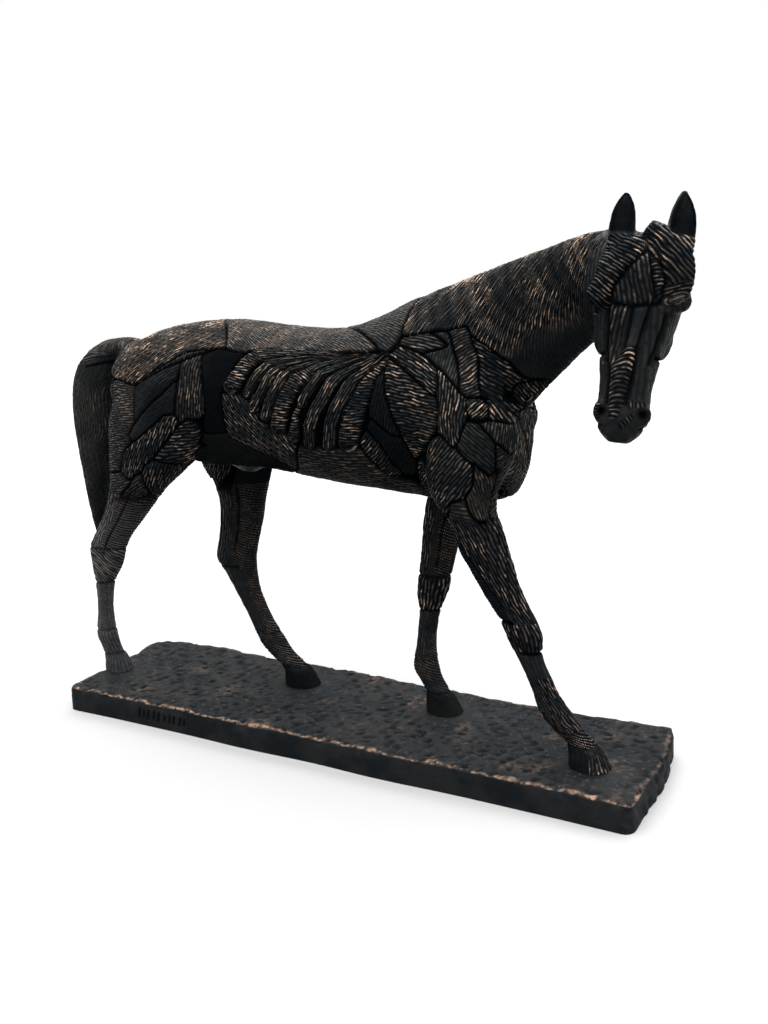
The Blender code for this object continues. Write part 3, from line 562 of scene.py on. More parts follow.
def ear_rings(frame, side):
    """Rings up one ear, which leans out and a little forward."""
    lean, splay = math.radians(172), math.radians(-1.5 * side - 2)
    tilt = Matrix.Rotation(lean, 4, "X") @ Matrix.Rotation(splay, 4, "Y")
    shift, narrow, length = EAR_TURN[side]
    root = Matrix.Translation(Vector((EAR_SPREAD * side + EAR_SHIFT + shift, 0.8, 0.8)) * SHARE)
    return [
        (frame @ root @ tilt @ Matrix.Translation((0, 0, up * length * SHARE)),
         half_width * narrow * SHARE, half_depth * SHARE, 0.0)
        for up, half_width, half_depth in smooth_rows(EAR, 2)
    ]


def ridge_rings(frame, rows):
    """Round rings along a ridge of the face."""
    rows = smooth_rows(rows, 3)
    centres = [frame @ (Vector(row[:3]) * SHARE) for row in rows]
    rings = []
    for number, (centre, row) in enumerate(zip(centres, rows)):
        ahead = centres[min(number + 1, len(centres) - 1)] - centres[max(number - 1, 0)]
        across = frame.to_3x3() @ Vector((0, 1, 0))
        rings.append((facing(centre, ahead, across), row[3] * SHARE, row[3] * SHARE, 0.0))
    return rings


def add_ball(bm, frame, place, radius, stretch):
    """A round mass, drawn out along its own Z by stretch."""
    place = Matrix.Translation(Vector(place) * SHARE) @ Matrix.Diagonal((1, 1, stretch, 1))
    bmesh.ops.create_icosphere(bm, subdivisions=3, radius=radius * SHARE, matrix=frame @ place)


def figure_tubes():
    """Every limb and mass of the horse as closed tubes that run into each other."""
    bm = bmesh.new()
    frame = head_frame()
    add_tube(bm, body_rings(TRUNK, along=Vector((1, 0, 0))))
    add_tube(bm, body_rings(NECK))
    add_tube(bm, body_rings(TAIL))
    for leg in LEGS.values():
        add_tube(bm, leg_rings(leg))
        add_tube(bm, hoof_rings(leg))
    add_tube(bm, head_rings(frame))
    add_tube(bm, ridge_rings(frame, NOSE_BRIDGE))
    for side in (-1, 1):
        add_tube(bm, ear_rings(frame, side))
        add_tube(bm, ridge_rings(frame, BROWS[side]))
        for down, left, front, radius, stretch in (EYE, CHEEK_BULGE, NOSTRIL_WING):
            add_ball(bm, frame, (left * side, front, down), radius, stretch)
    lengthways = Matrix.Translation(share_point(*SHEATH[:3])) @ Matrix.Rotation(math.radians(80), 4, "Y")
    add_ball(bm, lengthways, (0, 0, 0), SHEATH[3], SHEATH[4])
    bmesh.ops.recalc_face_normals(bm, faces=bm.faces)
    mesh = bpy.data.meshes.new("tubes")
    bm.to_mesh(mesh)
    bm.free()
    return mesh


def hold(mesh):
    """A passing object that carries modifiers for a mesh."""
    holder = bpy.data.objects.new("holder", mesh)
    bpy.context.scene.collection.objects.link(holder)
    return holder


def applied(holder):
    """The holder's mesh after its modifiers; the holder is removed."""
    graph = bpy.context.evaluated_depsgraph_get()
    made = bpy.data.meshes.new_from_object(holder.evaluated_get(graph))
    bpy.data.objects.remove(holder)
    return made


def remeshed(mesh, grain):
    """The closed outer skin of the mesh at an even grain."""
    holder = hold(mesh)
    remesh = holder.modifiers.new("remesh", "REMESH")
    remesh.mode = "VOXEL"
    remesh.voxel_size = grain
    return applied(holder)


def coordinates(mesh, layer="vertices", field="co"):
    """One vector per vertex of the mesh, as an array."""
    found = np.empty(len(mesh.vertices) * 3, np.float32)
    getattr(mesh, layer).foreach_get(field, found)
    return found.reshape(-1, 3).astype(float)


def smoothed(mesh):
    """Melts the tubes into one another: a little on legs, ears and face, much more on the body."""
    places = shares_of(mesh)
    body = np.clip((places[:, 2] - 52) / 8, 0, 1) * np.clip((70 - places[:, 0]) / 10, 0, 1)
    body *= np.clip((places[:, 0] + 70) / 4, 0, 1)
    holder = hold(mesh)
    group = holder.vertex_groups.new(name="body")
    levels = np.rint(body * 5).astype(int)
    for level in range(1, 6):
        group.add(np.flatnonzero(levels == level).tolist(), level / 5, "REPLACE")
    for count, region in ((MELT_ALL, ""), (MELT_BODY, "body")):
        melt = holder.modifiers.new("melt", "SMOOTH")
        melt.factor = 0.5
        melt.iterations = count
        melt.vertex_group = region
    return applied(holder)


def store(mesh, fields):
    """Keeps one number per vertex under each name, for the patina to read."""
    for name, values in fields.items():
        layer = mesh.attributes.new(name, "FLOAT", "POINT")
        layer.data.foreach_set("value", values.astype(np.float32))


def shares_of(mesh):
    """Vertex places in shares, heights counted from the soles."""
    return (coordinates(mesh) - np.array([0, 0, PLINTH_THICKNESS + SEAT_GAP])) / SHARE


def groove(distance, half_width=SEAM_HALF_WIDTH / SHARE):
    """Cross section of a seam: 1 at its middle, falling away smoothly to 0 at its half width."""
    return np.clip(1 - np.abs(distance) / half_width, 0, 1) ** 1.5


def window(value, low, high, fade):
    """1 between low and high, fading to 0 over fade beyond them."""
    return np.clip((value - low) / fade + 1, 0, 1) * np.clip((high - value) / fade + 1, 0, 1)


def line_distance(u, v, start, end):
    """Distance on the chart from each place to the line from start to end."""
    run = np.subtract(end, start)
    along = np.clip(((u - start[0]) * run[0] + (v - start[1]) * run[1]) / run.dot(run), 0, 1)
    return np.hypot(u - start[0] - along * run[0], v - start[1] - along * run[1])


def unrolled(places, normals):
    """The flank chart: back, belly and breast are rolled out flat beside the sides."""
    reach = UNROLL * np.clip(UNROLL_HALF_WIDTH - np.abs(places[:, 1]), 0, None)
    u = places[:, 0] + reach * normals[:, 0] * np.abs(normals[:, 0])
    v = places[:, 2] + reach * normals[:, 2] * np.abs(normals[:, 2])
    return u, v


def inside_distance(u, v, corners):
    """Distance to the outline of a plate: more than 0 inside it, less than 0 outside."""
    corners = np.array(corners, float)
    nearest = np.full(len(u), 999.0)
    inside = np.zeros(len(u), bool)
    for start, end in zip(corners, np.roll(corners, -1, axis=0)):
        nearest = np.minimum(nearest, line_distance(u, v, start, end))
        crossing = (start[1] > v) != (end[1] > v)
        rise = end[1] - start[1] if end[1] != start[1] else 1.0
        inside ^= crossing & (u < start[0] + (v - start[1]) * (end[0] - start[0]) / rise)
    return np.where(inside, nearest, -nearest)


def nearest_plates(u, v):
    """The plate that each place lies on or nearest to, the distance to its outline, and the distance
    to the seam: plates grow a little, until they meet their neighbours half way."""
    owner = np.zeros(len(u), int)
    best = np.full(len(u), -999.0)
    second = np.full(len(u), -999.0)
    for number, plate in enumerate(PLATES):
        found = inside_distance(u, v, plate[5])
        better = found > best
        second = np.where(better, best, np.maximum(second, found))
        owner[better] = number
        best = np.maximum(best, found)
    return owner, best, np.minimum(best + PLATE_GROWTH, (best - second) / 2)


def nearest_ribs(u, v):
    """The rib nearest to each place, the distance from its line in half widths, the side, the run along
    it, how steeply it falls there, 0 to 1, and the distance to the middle of the gap beside it."""
    owner = np.zeros(len(u), int)
    away = np.full(len(u), 99.0)
    aside = np.zeros(len(u))
    run = np.zeros(len(u))
    steep = np.zeros(len(u))
    near = np.full(len(u), 99.0)
    beside = np.full(len(u), 99.0)
    for number, (kind, half_width, line) in enumerate(RIBS):
        passed = 0.0
        here = np.full(len(u), 99.0)
        for start, end in zip(line, line[1:]):
            step = np.subtract(end, start)
            length = float(np.hypot(*step))
            along = np.clip(((u - start[0]) * step[0] + (v - start[1]) * step[1]) / length ** 2, 0, 1)
            right = u - start[0] - along * step[0]
            up = v - start[1] - along * step[1]
            gone = passed + along * length
            slim = half_width * np.clip(0.25 + gone / 16, 0.3, 1)
            found = np.hypot(right, up) / slim
            better = found < away
            owner[better] = number
            away[better] = found[better]
            aside[better] = np.sign(step[0] * up - step[1] * right)[better] * (found * slim)[better]
            run[better] = gone[better]
            steep[better] = np.clip((abs(step[1]) / length - 0.35) / 0.3, 0, 1)
            here = np.minimum(here, np.hypot(right, up))
            passed += length
        beside = np.minimum(beside, np.maximum(near, here))
        near = np.minimum(near, here)
    return owner, away, aside, run, steep, (beside - near) / 2


def body_share(places):
    """1 on the trunk, neck and upper legs, fading to 0 towards the legs, the tail and the head."""
    return np.clip((places[:, 2] - LEG_TOP + 3) / 3, 0, 1) * np.clip((73 - places[:, 0]) / 4, 0, 1)


def around_leg(places, rows):
    """Distance from a leg's middle line, and the bearing off its front in degrees, left positive."""
    rows = np.array(rows)[::-1]
    forward, left = (np.interp(places[:, 2], rows[:, 2], rows[:, axis]) for axis in (0, 1))
    ahead, aside = places[:, 0] - forward, places[:, 1] - left
    return np.hypot(ahead, aside), np.degrees(np.arctan2(aside, ahead))


def leg_carving(places):
    """Depth of the rings round the joints and of the lines down the forearms and gaskins."""
    depth = np.zeros(len(places))
    nearest = np.full(len(places), 9.0)
    height = places[:, 2]
    for name, rows in LEGS.items():
        away, bearing = around_leg(places, rows)
        here = np.zeros(len(places))
        for ring, start, end, deep in RING_SEAMS[name]:
            here = np.maximum(here, groove(height - ring) * window(np.abs(bearing), start, end, 12) * deep)
        lines = LINE_SEAMS
        if name == "near_fore":
            lines = (*LINE_SEAMS[:2], np.interp(height, *zip(*NEAR_ELBOW_SEAM)))
        for line in lines:
            turned = np.radians((bearing - line + 180) % 360 - 180)
            here = np.maximum(here, groove(turned * away) * window(height, LINE_FOOT, 60, 3) * 0.7)
        mine = away < nearest
        depth[mine] = here[mine]
        nearest[mine] = away[mine]
    return depth * SEAM_DEPTH * (nearest < 8) * np.clip((LEG_TOP + 2 - height) / 4, 0, 1)


def into_head():
    """The turn into the head's own frame, and the shift that goes with it."""
    inverse = np.array(head_frame().inverted())
    return inverse[:3, :3].T, inverse[:3, 3]


def head_carving(spots, normals):
    """Depth of the nostrils, mouth and seams of the face along the normals, and of the ear hollows
    straight back into the head."""
    outward = normals @ into_head()[0]
    left, front, down = spots.T
    depth = np.zeros(len(spots))
    ear = np.zeros(len(spots))
    for side in (-1, 1):
        away = np.linalg.norm(spots - [NOSTRIL[1] * side, NOSTRIL[2], NOSTRIL[0]], axis=1)
        depth = np.maximum(depth, NOSTRIL_DEPTH * SHARE * groove(away, NOSTRIL[3] + 0.6))
        up = 0.8 - down
        ear_width = np.interp(up, [row[0] for row in EAR], [row[1] for row in EAR], left=9, right=0.1)
        aside = left - EAR_SPREAD * side - EAR_SHIFT - EAR_TURN[side][0]
        inner = np.clip((ear_width * EAR_TURN[side][1] - np.abs(aside)) / EAR_RIM - 0.3, 0, 1)
        hollow = inner * window(up, 2.0, 9.0, 1.0) * np.clip(outward[:, 1] * 3, 0, 1)
        ear = np.maximum(ear, EAR_HOLLOW * SHARE * hollow * np.interp(up, [0, 4, 9], [1, 1, 0.5]))
    for line in FACE_SEAMS:
        for start, end in zip(line, line[1:]):
            seam = groove(line_distance(left, down, start, end), 0.75) * (outward[:, 1] > 0.1)
            depth = np.maximum(depth, 0.75 * SEAM_DEPTH * seam)
    depth = np.maximum(depth, SEAM_DEPTH * 0.6 * groove(down - MOUTH[0]) * (front < MOUTH[1]))
    jaw = (np.abs(left) > 3.4) * (front < 1)
    depth = np.maximum(depth, SEAM_DEPTH * 0.9 * groove(down - JAW_NOTCH) * jaw)
    nearby = (np.hypot(left, front) < 18) * (down > -12) * (down < 40)
    return depth * nearby, ear * nearby


def plinth_size():
    """Length and width of the plinth, from where the hooves stand."""
    heels = min(rows[-1][0] for rows in LEGS.values()) + HOOF[-1][0] - HOOF[-1][3]
    toes = max(rows[-1][0] for rows in LEGS.values()) + HOOF[-1][0] + HOOF[-1][3]
    sides = [rows[-1][1] for rows in LEGS.values()]
    length = (toes - heels) * SHARE + PLINTH_BEFORE_TOE + PLINTH_BEHIND_HEEL
    width = (max(sides) - min(sides) + 2 * HOOF[-1][2]) * SHARE + 2 * PLINTH_BESIDE_HOOF
    return length, width


# Plates of the skin on the flank chart: name, bearing of the strands, pitch in millimetres, how strongly
# they stand out, how much copper shows, with painted glints and, on the upward croup and back, painted
# light (less than 0 where painted shade darkens the plate), and the corners
PLATES = [
    ("croup", 36, 1.9, 0.85, 1.6, [
        (-58.5, 83.4), (-49.2, 82), (-44.9, 84.4), (-40.2, 87.1), (-35.5, 89.8), (-33.6, 90.8),
        (-28.8, 91.6), (-23.4, 92.4), (-24.4, 95.7), (-25.8, 100.2), (-29, 107), (-31, 114), (-92, 114),
        (-92, 92)
    ]),
    ("croup_rim", 72, 1.7, 1.0, 1.6, [
        (-45.4, 83.7), (-40.2, 86.5), (-35.5, 89.2), (-33.5, 90.2), (-28.8, 91.0), (-29.6, 90.0),
        (-34.2, 88.2), (-38.5, 86.4), (-44.4, 83.9)
    ]),
    ("back", 142, 1.7, 0.65, 0.9, [
        (-23.2, 92.2), (-20.5, 91), (-12.4, 91.6), (-6.3, 90.9), (-1.7, 91.5), (4, 91.2), (9.7, 91.2),
        (15.3, 90.7), (17.6, 91.4), (12.8, 96.1), (8.1, 101.5), (4, 106), (2, 114), (-30.6, 114),
        (-28.6, 107), (-25.4, 100.2), (-24, 95.7)
    ]),
    ("withers", 146, 1.8, 0.6, 0.35, [
        (8.1, 101.5), (12.8, 96.1), (17.6, 91.4), (20.4, 90.2), (21.9, 91.6), (22.8, 94.7), (23.4, 98.9),
        (23.4, 114), (2, 114), (4, 106)
    ]),
    ("withers_front", 165, 2.0, 0.9, 0.45, [
        (21.9, 90.1), (24.1, 93), (29.9, 94.1), (32.2, 92.7), (34.2, 90.8), (28, 89.3), (23.7, 91.1)
    ]),
    ("crest_root", 80, 1.7, 0.6, 0.12, [
        (29.9, 94.1), (33.6, 93.6), (35.3, 90.4), (36.4, 87.8), (37.6, 84.7), (37.5, 81.7), (34, 86),
        (31.8, 87.4), (28.5, 88.9), (33.7, 90.8)
    ]),
    ("shoulder_top", 150, 1.9, 1.0, 0.75, [
        (21.4, 89), (23.3, 91.5), (28.5, 89.3), (31.3, 87.2), (32.2, 86.1), (32.7, 81.9), (31.9, 80.8),
        (27.5, 83.9), (23.8, 87.3)
    ]),
    ("shoulder_leaf", 170, 1.95, 1.0, 0.9, [
        (20.4, 87.5), (21.9, 87.8), (26.6, 83.9), (31.1, 80), (33.2, 79), (32.9, 73.9), (28.4, 69.8),
        (25.6, 64.4), (24.3, 68.8), (22.1, 76), (20.4, 81.8)
    ]),
    ("shoulder_strip", 89, 1.9, 1.0, 0.7, [
        (32.7, 86.5), (35.1, 84.6), (37.5, 82.2), (38.9, 80.2), (39.7, 76.6), (38.3, 71.9),
        (36.4, 70.1), (35.2, 71.5), (32.8, 72.9), (33.2, 79), (32.9, 81.6)
    ]),
    ("blade_rear", 24, 1.9, 0.9, 0.75, [
        (33.6, 94), (37.4, 94.4), (39.4, 90.4), (41.3, 86.4), (42.5, 83), (42.7, 81.1), (39.9, 80.7),
        (38, 81.3), (37.6, 84.7), (36.4, 87.8), (34.7, 90.9)
    ]),
    ("blade_front", 150, 2.0, 1.0, 0.75, [
        (38.8, 92.3), (42.7, 89.4), (46.9, 85.7), (49.4, 81.6), (55.4, 76.7), (52.7, 79.7),
        (47.2, 80.9), (42.5, 83), (41.3, 86.4), (39.9, 89.9)
    ]),
    ("rosette", 50, 1.8, 1.0, 0.9, [
        (39.9, 80.3), (42.8, 80.8), (45, 78.6), (44.7, 76.4), (41.2, 76.3), (39.8, 77.7)
    ]),
    ("point_of_shoulder", 128, 1.9, 1.0, 0.9, [
        (45.1, 80.7), (52.7, 79.7), (56.5, 76.5), (56.8, 74.9), (47.6, 75.9), (44.7, 76.4), (45, 78.6)
    ]),
    ("upper_arm", 139, 2.1, 0.8, -0.10, [
        (38.8, 72.4), (40.3, 74.9), (42.7, 74.5), (46.1, 70.6), (46.3, 65.1), (45, 63.4), (41.5, 66.4),
        (38, 69.6)
    ]),
    ("shoulder_band", 79, 2.0, 0.9, 0.7, [
        (43.1, 74.8), (46.3, 75.5), (56.9, 74.4), (59.8, 70.6), (58.8, 64.4), (50.1, 68.7),
        (46.4, 70.8)
    ]),
    ("triceps", 50, 2.1, 1.0, 0.45, [
        (26, 63.6), (30, 70.1), (33.6, 72), (35.6, 70.1), (38, 68.7), (41.5, 65.4), (41.1, 61.6),
        (37.8, 57.9), (34.9, 54), (30.5, 55.3), (24.2, 51), (25.2, 59.4)
    ]),
    ("fore_of_arm", 110, 2.0, 0.8, 0.35, [
        (41.5, 66.4), (45, 63.4), (46.7, 64.4), (50, 68), (43.1, 49.3), (47.5, 54.5), (40.6, 54.6),
        (38.7, 56.9), (41.1, 61.6)
    ]),
    ("breast", 28, 2.1, 0.8, 0.32, [
        (46.7, 64.8), (46.4, 70.5), (50.1, 68.4), (58.3, 64.4), (66, 50), (46, 46)
    ]),
    ("behind_leaf", 76, 2.0, 0.7, -0.30, [
        (18.1, 81.9), (20.4, 86.8), (20.9, 80.4), (22.2, 76.4), (24.3, 70.7), (21.9, 71.4),
        (17.6, 75.3), (17.2, 78.6)
    ]),
    ("girth", 60, 2.0, 0.6, -0.45, [
        (17.6, 74.8), (21.7, 71.1), (24.3, 70.3), (25.6, 64.4), (24.7, 59.8), (21.5, 59.9),
        (20.1, 64.2), (18.8, 69.2), (16.3, 72.3)
    ]),
    ("elbow_strip", 45, 2.0, 1.0, 0.6, [
        (14.4, 69.5), (16.3, 72.3), (18.6, 68.9), (20.1, 63.8), (21.5, 59.9), (18.1, 58.6),
        (15.8, 64.1)
    ]),
    ("belly", 176, 2.6, 0.8, 0.4, [
        (-2.6, 67.5), (4, 67.6), (13.2, 68.2), (15.9, 63.7), (18.2, 58.2), (23.3, 55.7), (33, 40),
        (-18, 40), (-6.5, 57.3)
    ]),
    ("chest_floor", 176, 2.4, 0.7, 0.3, [(34, 40), (34, 60), (40, 58), (44, 46), (44, 40)]),
    ("flank", 126, 2.1, 1.0, 0.65, [
        (-22.8, 79.9), (-19, 79.9), (-14.8, 78.5), (-13.4, 75.8), (-9.7, 71.9), (-3.8, 70.2),
        (-2.6, 67.5), (-6.9, 56.8), (-9.2, 60.4), (-15.2, 64.6), (-22.8, 68.7), (-22.3, 75.8)
    ]),
    ("flank_hollow", 85, 2.0, 0.35, -0.65, [
        (-29.4, 88.9), (-25.1, 91.1), (-18.6, 90.2), (-20, 84.8), (-21.4, 82.4), (-23.3, 78.6),
        (-23.8, 69.6), (-29.2, 69), (-27.5, 76.3), (-28, 82.3)
    ]),
    ("hip", 84, 2.0, 0.95, 0.6, [
        (-34.1, 87.8), (-29.8, 89.7), (-28.9, 88), (-28, 82.3), (-27.5, 76.3), (-29.2, 74.1),
        (-32.6, 73.8), (-34.5, 72.9), (-35.9, 74.8), (-35.2, 80.4), (-34.1, 84.1)
    ]),
    ("thigh_rear", 4, 1.7, 0.8, 0.4, [
        (-56.3, 83.2), (-49.2, 81.6), (-48.2, 78.2), (-48.2, 72.9), (-50, 69.6), (-49.6, 67.8),
        (-52.2, 65.4), (-53.7, 60.2), (-59.1, 59.3), (-60.1, 75.6), (-60.8, 81.5)
    ]),
    ("buttock_edge", 4, 1.9, 0.8, 0.3, [
        (-60.8, 81.5), (-60.1, 75.6), (-59.5, 59.3), (-92, 52), (-92, 91), (-65.2, 80.5)
    ]),
    ("thigh_leaf_top", 30, 2.0, 0.45, -0.20, [
        (-48.2, 81.1), (-44, 83.8), (-38.3, 86.2), (-35, 87.5), (-35.7, 83.1), (-38.9, 80.2),
        (-43.9, 76.6), (-47.6, 72.7), (-47.7, 77.6)
    ]),
    ("thigh_leaf", 36, 1.9, 0.45, -0.15, [
        (-47.7, 72.3), (-43.5, 76.2), (-38.8, 79.8), (-36, 82.7), (-35.2, 80.4), (-35.9, 74.8),
        (-39, 74.7), (-43.5, 71), (-48.2, 68.2), (-49.5, 69.6)
    ]),
    ("thigh_long", 64, 1.9, 1.0, 0.5, [
        (-53.7, 60.2), (-52.2, 65), (-48.2, 67.8), (-43.5, 70.6), (-39, 74.3), (-35.9, 74.8),
        (-34.8, 72.8), (-38.5, 68.2), (-42.2, 65), (-45.4, 62.6), (-48.7, 59.6), (-51.9, 57.9)
    ]),
    ("hamstring", 12, 1.8, 0.7, 0.25, [
        (-60, 59), (-54, 59.8), (-51.5, 57.9), (-51.6, 56.8), (-55.7, 53.7), (-61, 51.3),
        (-62.9, 46.6), (-75.2, 41.7), (-92, 40), (-92, 52)
    ]),
    ("stifle_wedge", 1, 2.3, 1.0, 0.75, [
        (-42.3, 63.7), (-39.7, 66.4), (-34.8, 72), (-32.5, 73.4), (-30.7, 71.6), (-30.3, 64.8),
        (-33.7, 58.2), (-36.3, 61.9)
    ]),
    ("gaskin_top", 58, 2.0, 1.0, 0.55, [
        (-45.4, 61.7), (-42.4, 63.4), (-36.4, 61.5), (-37.6, 56.6), (-41.5, 53.7), (-44.9, 50.7),
        (-46.6, 54.2), (-46.8, 59.3)
    ]),
    ("gaskin_rear", 30, 1.9, 0.8, 0.3, [
        (-49.1, 59.2), (-47.3, 59.3), (-47, 54.1), (-50, 52.9), (-55.2, 53.7), (-51.6, 56.8)
    ]),
    ("groin", 100, 2.2, 0.4, -0.50, [
        (-29.6, 69.1), (-23.8, 69.6), (-22.8, 67.9), (-15.2, 63.8), (-9.2, 59.6), (-8.0, 54.0), (-18, 38),
        (-44, 38), (-35.3, 56.1), (-30.3, 64.8)
    ]),
    ("breast_front", 75, 2.0, 0.8, 0.4, [
        (59.8, 70.6), (57, 75.5), (66, 71), (80, 66), (80, 44), (66, 50), (58.8, 64.4)
    ]),
    ("neck", 60, 1.9, 1.0, 0.75, [
        (23.4, 125), (23.4, 98.9), (23, 94.9), (24.3, 93.9), (30, 94.9), (33.8, 94.4), (37.4, 95.2),
        (38.9, 92.9), (42.9, 90), (47, 86.3), (49.7, 82.1), (55.8, 77.6), (66, 71), (96, 71),
        (96, 125)
    ]),
]

# Ribs: how the strands run (across or along), half width, and the line from the pole to the foot
RIBS = [
    ("across", 1.9, [(8.7, 90), (-1.7, 91.1), (-9.2, 90.8),
      (-13.4, 90.4), (-16.2, 87.9), (-18.1, 84.5), (-20, 81.7)]),
    ("along", 1.15, [(10.1, 89.6), (4.5, 89.9), (-1.2, 89.9), (-6.3, 89),
      (-10.1, 87.7), (-12.5, 85), (-14.2, 82.6), (-15.3, 80)]),
    ("along", 1.2, [(12.4, 89.3), (6.3, 89.6), (1.2, 89.1), (-3.5, 87.9),
      (-7.3, 86.6), (-9.6, 84.3), (-11, 81.2), (-12.5, 78.6), (-13.9, 76.7)]),
    ("along", 1.25, [(14.8, 89.3), (10.1, 89.6), (4, 89.2), (-0.4, 87.6),
      (-4, 86.6), (-5.9, 84.1), (-7.8, 80.9), (-9.1, 77.6), (-10.6, 74.8)]),
    ("across", 2.0, [(16.7, 89.2), (12.4, 89.3), (8.7, 89), (4.9, 87.7),
      (1.6, 86.1), (-1.2, 83.8), (-3.5, 81.1), (-5.4, 77.6), (-7.3, 72.4)]),
    ("along", 1.1, [(18.6, 89.5), (15.3, 88.9), (12.5, 88.1), (7.8, 86.6),
      (4.9, 85.5), (3.1, 82.9), (1.1, 80.2), (0.2, 78.5)]),
    ("across", 1.9, [(-0.2, 77.6), (-1.6, 75.3), (-2.2, 72.9), (-3.1, 70.1)]),
    ("along", 1.5, [(19.5, 89.8), (16.7, 88.4), (13, 86.7), (9.7, 85.2),
      (7.5, 82.6), (5.9, 79.5), (4, 76.6), (2.1, 73), (1.2, 68.8)]),
    ("along", 1.5, [(20.4, 89.4), (18.1, 87.2), (15.7, 85.5), (12.9, 83.7),
      (11, 80.3), (9.3, 77.4), (7.7, 73.8), (6.3, 68.7)]),
    ("across", 2.3, [(20.4, 88.3), (19.5, 86.5), (16.6, 83.6),
      (15.3, 80.4), (13.8, 77.6), (12.9, 74.4), (11, 69.2)]),
]


def waves(points, seed, length, count=9):
    """Smooth noise about 0: waves near one length, laid over one another on chance bearings."""
    rng = np.random.default_rng(seed)
    total = np.zeros(len(points))
    for number in range(count):
        heading = rng.normal(size=3)
        heading *= math.tau / (length * rng.uniform(0.7, 1.7)) / np.linalg.norm(heading)
        total += np.sin(points @ heading + rng.uniform(0, math.tau))
    return total / math.sqrt(count)


def strand_profile(phase, along):
    """Height of a strand, 0 to 1: a rounded ridge broken into strokes that taper at both ends."""
    number = np.floor(phase)
    ridge = 1 - np.abs(2 * (phase - number) - 1)
    place = along / STROKE_LENGTH + np.mod(number * 0.618034, 1)
    stroke = np.mod(place, 1)
    taper = np.clip(np.minimum(stroke, 1 - stroke) * 6, 0, 1)
    firm = 0.55 + 0.45 * np.sin(number * 12.9 + np.floor(place) * 78.2)
    return np.clip(ridge * 1.35, 0, 1) * (0.35 + 0.65 * taper) * (0.55 + 0.45 * firm)


class Strands:
    """What every point of the skin needs for its strands, filled in zone by zone."""

    NAMES = ("phase", "along", "strength", "copper")

    def __init__(self, count):
        self.rubbed_sheen = np.zeros(count)
        for name in self.NAMES:
            setattr(self, name, np.zeros(count))

    def lay(self, where, *values):
        """Gives these points their phase across the strands, run along them, strength, and copper, which
        also carries painted glints and, below 0, painted shade.
        """
        for name, value in zip(self.NAMES, values):
            getattr(self, name)[where] = np.broadcast_to(value, where.shape)[where]


def lay_plates(skin, places, u, v, owner):
    """Parallel strands across each plate; in the hollow before the blade they follow the side view."""
    hollow = np.array([plate[0] in ("blade_front", "point_of_shoulder") for plate in PLATES])[owner]
    u, v = np.where(hollow, places[:, 0] + 0.3 * places[:, 1], u), np.where(hollow, places[:, 2], v)
    bearing = np.radians(np.array([plate[1] for plate in PLATES], float))[owner]
    pitch, strength, copper = (np.array([plate[k] for plate in PLATES], float)[owner] for k in (2, 3, 4))
    across = (v * np.cos(bearing) - u * np.sin(bearing)) * SHARE
    along = (u * np.cos(bearing) + v * np.sin(bearing)) * SHARE
    everywhere = np.ones(len(u), bool)
    skin.lay(everywhere, across / (pitch * 0.001 * PITCH_SCALE) + owner * 7.3, along, strength, copper)


def lay_ribs(skin, here, kind, aside, run, steep):
    """Strands along the ribs, and across a few of them where they turn down."""
    crossed = np.array([rib[0] == "across" for rib in RIBS])[kind]
    copper = 0.35 + 0.25 * steep
    skin.lay(here, aside * SHARE / RIB_PITCH + 0.5, run * SHARE, 1.0, copper)
    skew = run + 0.35 * aside
    skin.lay(here & crossed & (steep > 0.5), skew * SHARE / ROW_PITCH, aside * SHARE, 1.0, 0.60)


def lay_neck(skin, places, here):
    """Long strands that fall from the crest and lean back, steeper towards the throat."""
    axis = np.interp(places[:, 0], [22, 34, 46, 57, 66, 76], [80, 86, 93, 98.8, 102.2, 103.5])
    above = places[:, 2] - axis
    slant = 0.50 * above + 0.021 * above ** 2
    curl = 0.05 * np.clip(places[:, 0] - 56, 0, None) ** 1.6 * np.clip(above / 10, -1, 1)
    across = places[:, 0] - 1.0 * places[:, 1] * (places[:, 0] > 50) * 0.35 - slant + curl
    throat = np.clip((above + 9) / 6, 0.25, 1)
    # Towards the throat the copper falls below 0: painted shade under the neck
    copper = 0.93 * throat ** 2 - 0.35 * (1 - throat)
    skin.lay(here, across * SHARE / NECK_PITCH, above * SHARE, throat, copper)


def lay_tail(skin, places):
    """Strands that run down the tail and close in towards its tip."""
    rows = np.array(TAIL)[::-1]
    heights, first = np.unique(rows[:, 2], return_index=True)
    forward = np.interp(places[:, 2], heights, rows[first, 0])
    depth = np.interp(places[:, 2], heights, rows[first, 4])
    here = (np.abs(places[:, 0] - forward) < depth + 1.5) & (np.abs(places[:, 1]) < 6) & (places[:, 2] > 36)
    here |= (places[:, 0] < -61) & (places[:, 2] > 84)
    here &= places[:, 0] < -60.5
    round_it = np.arctan2(places[:, 1], forward - places[:, 0]) / math.tau * 44
    slanted = round_it + 0.16 * places[:, 2] + 1.2 * np.sin(places[:, 2] * 0.3)
    skin.lay(here, slanted, places[:, 2] * SHARE, 0.6, 0.16)
    rump = here & (places[:, 2] > 88.6)
    skin.copper[rump] = 0.8
    return here


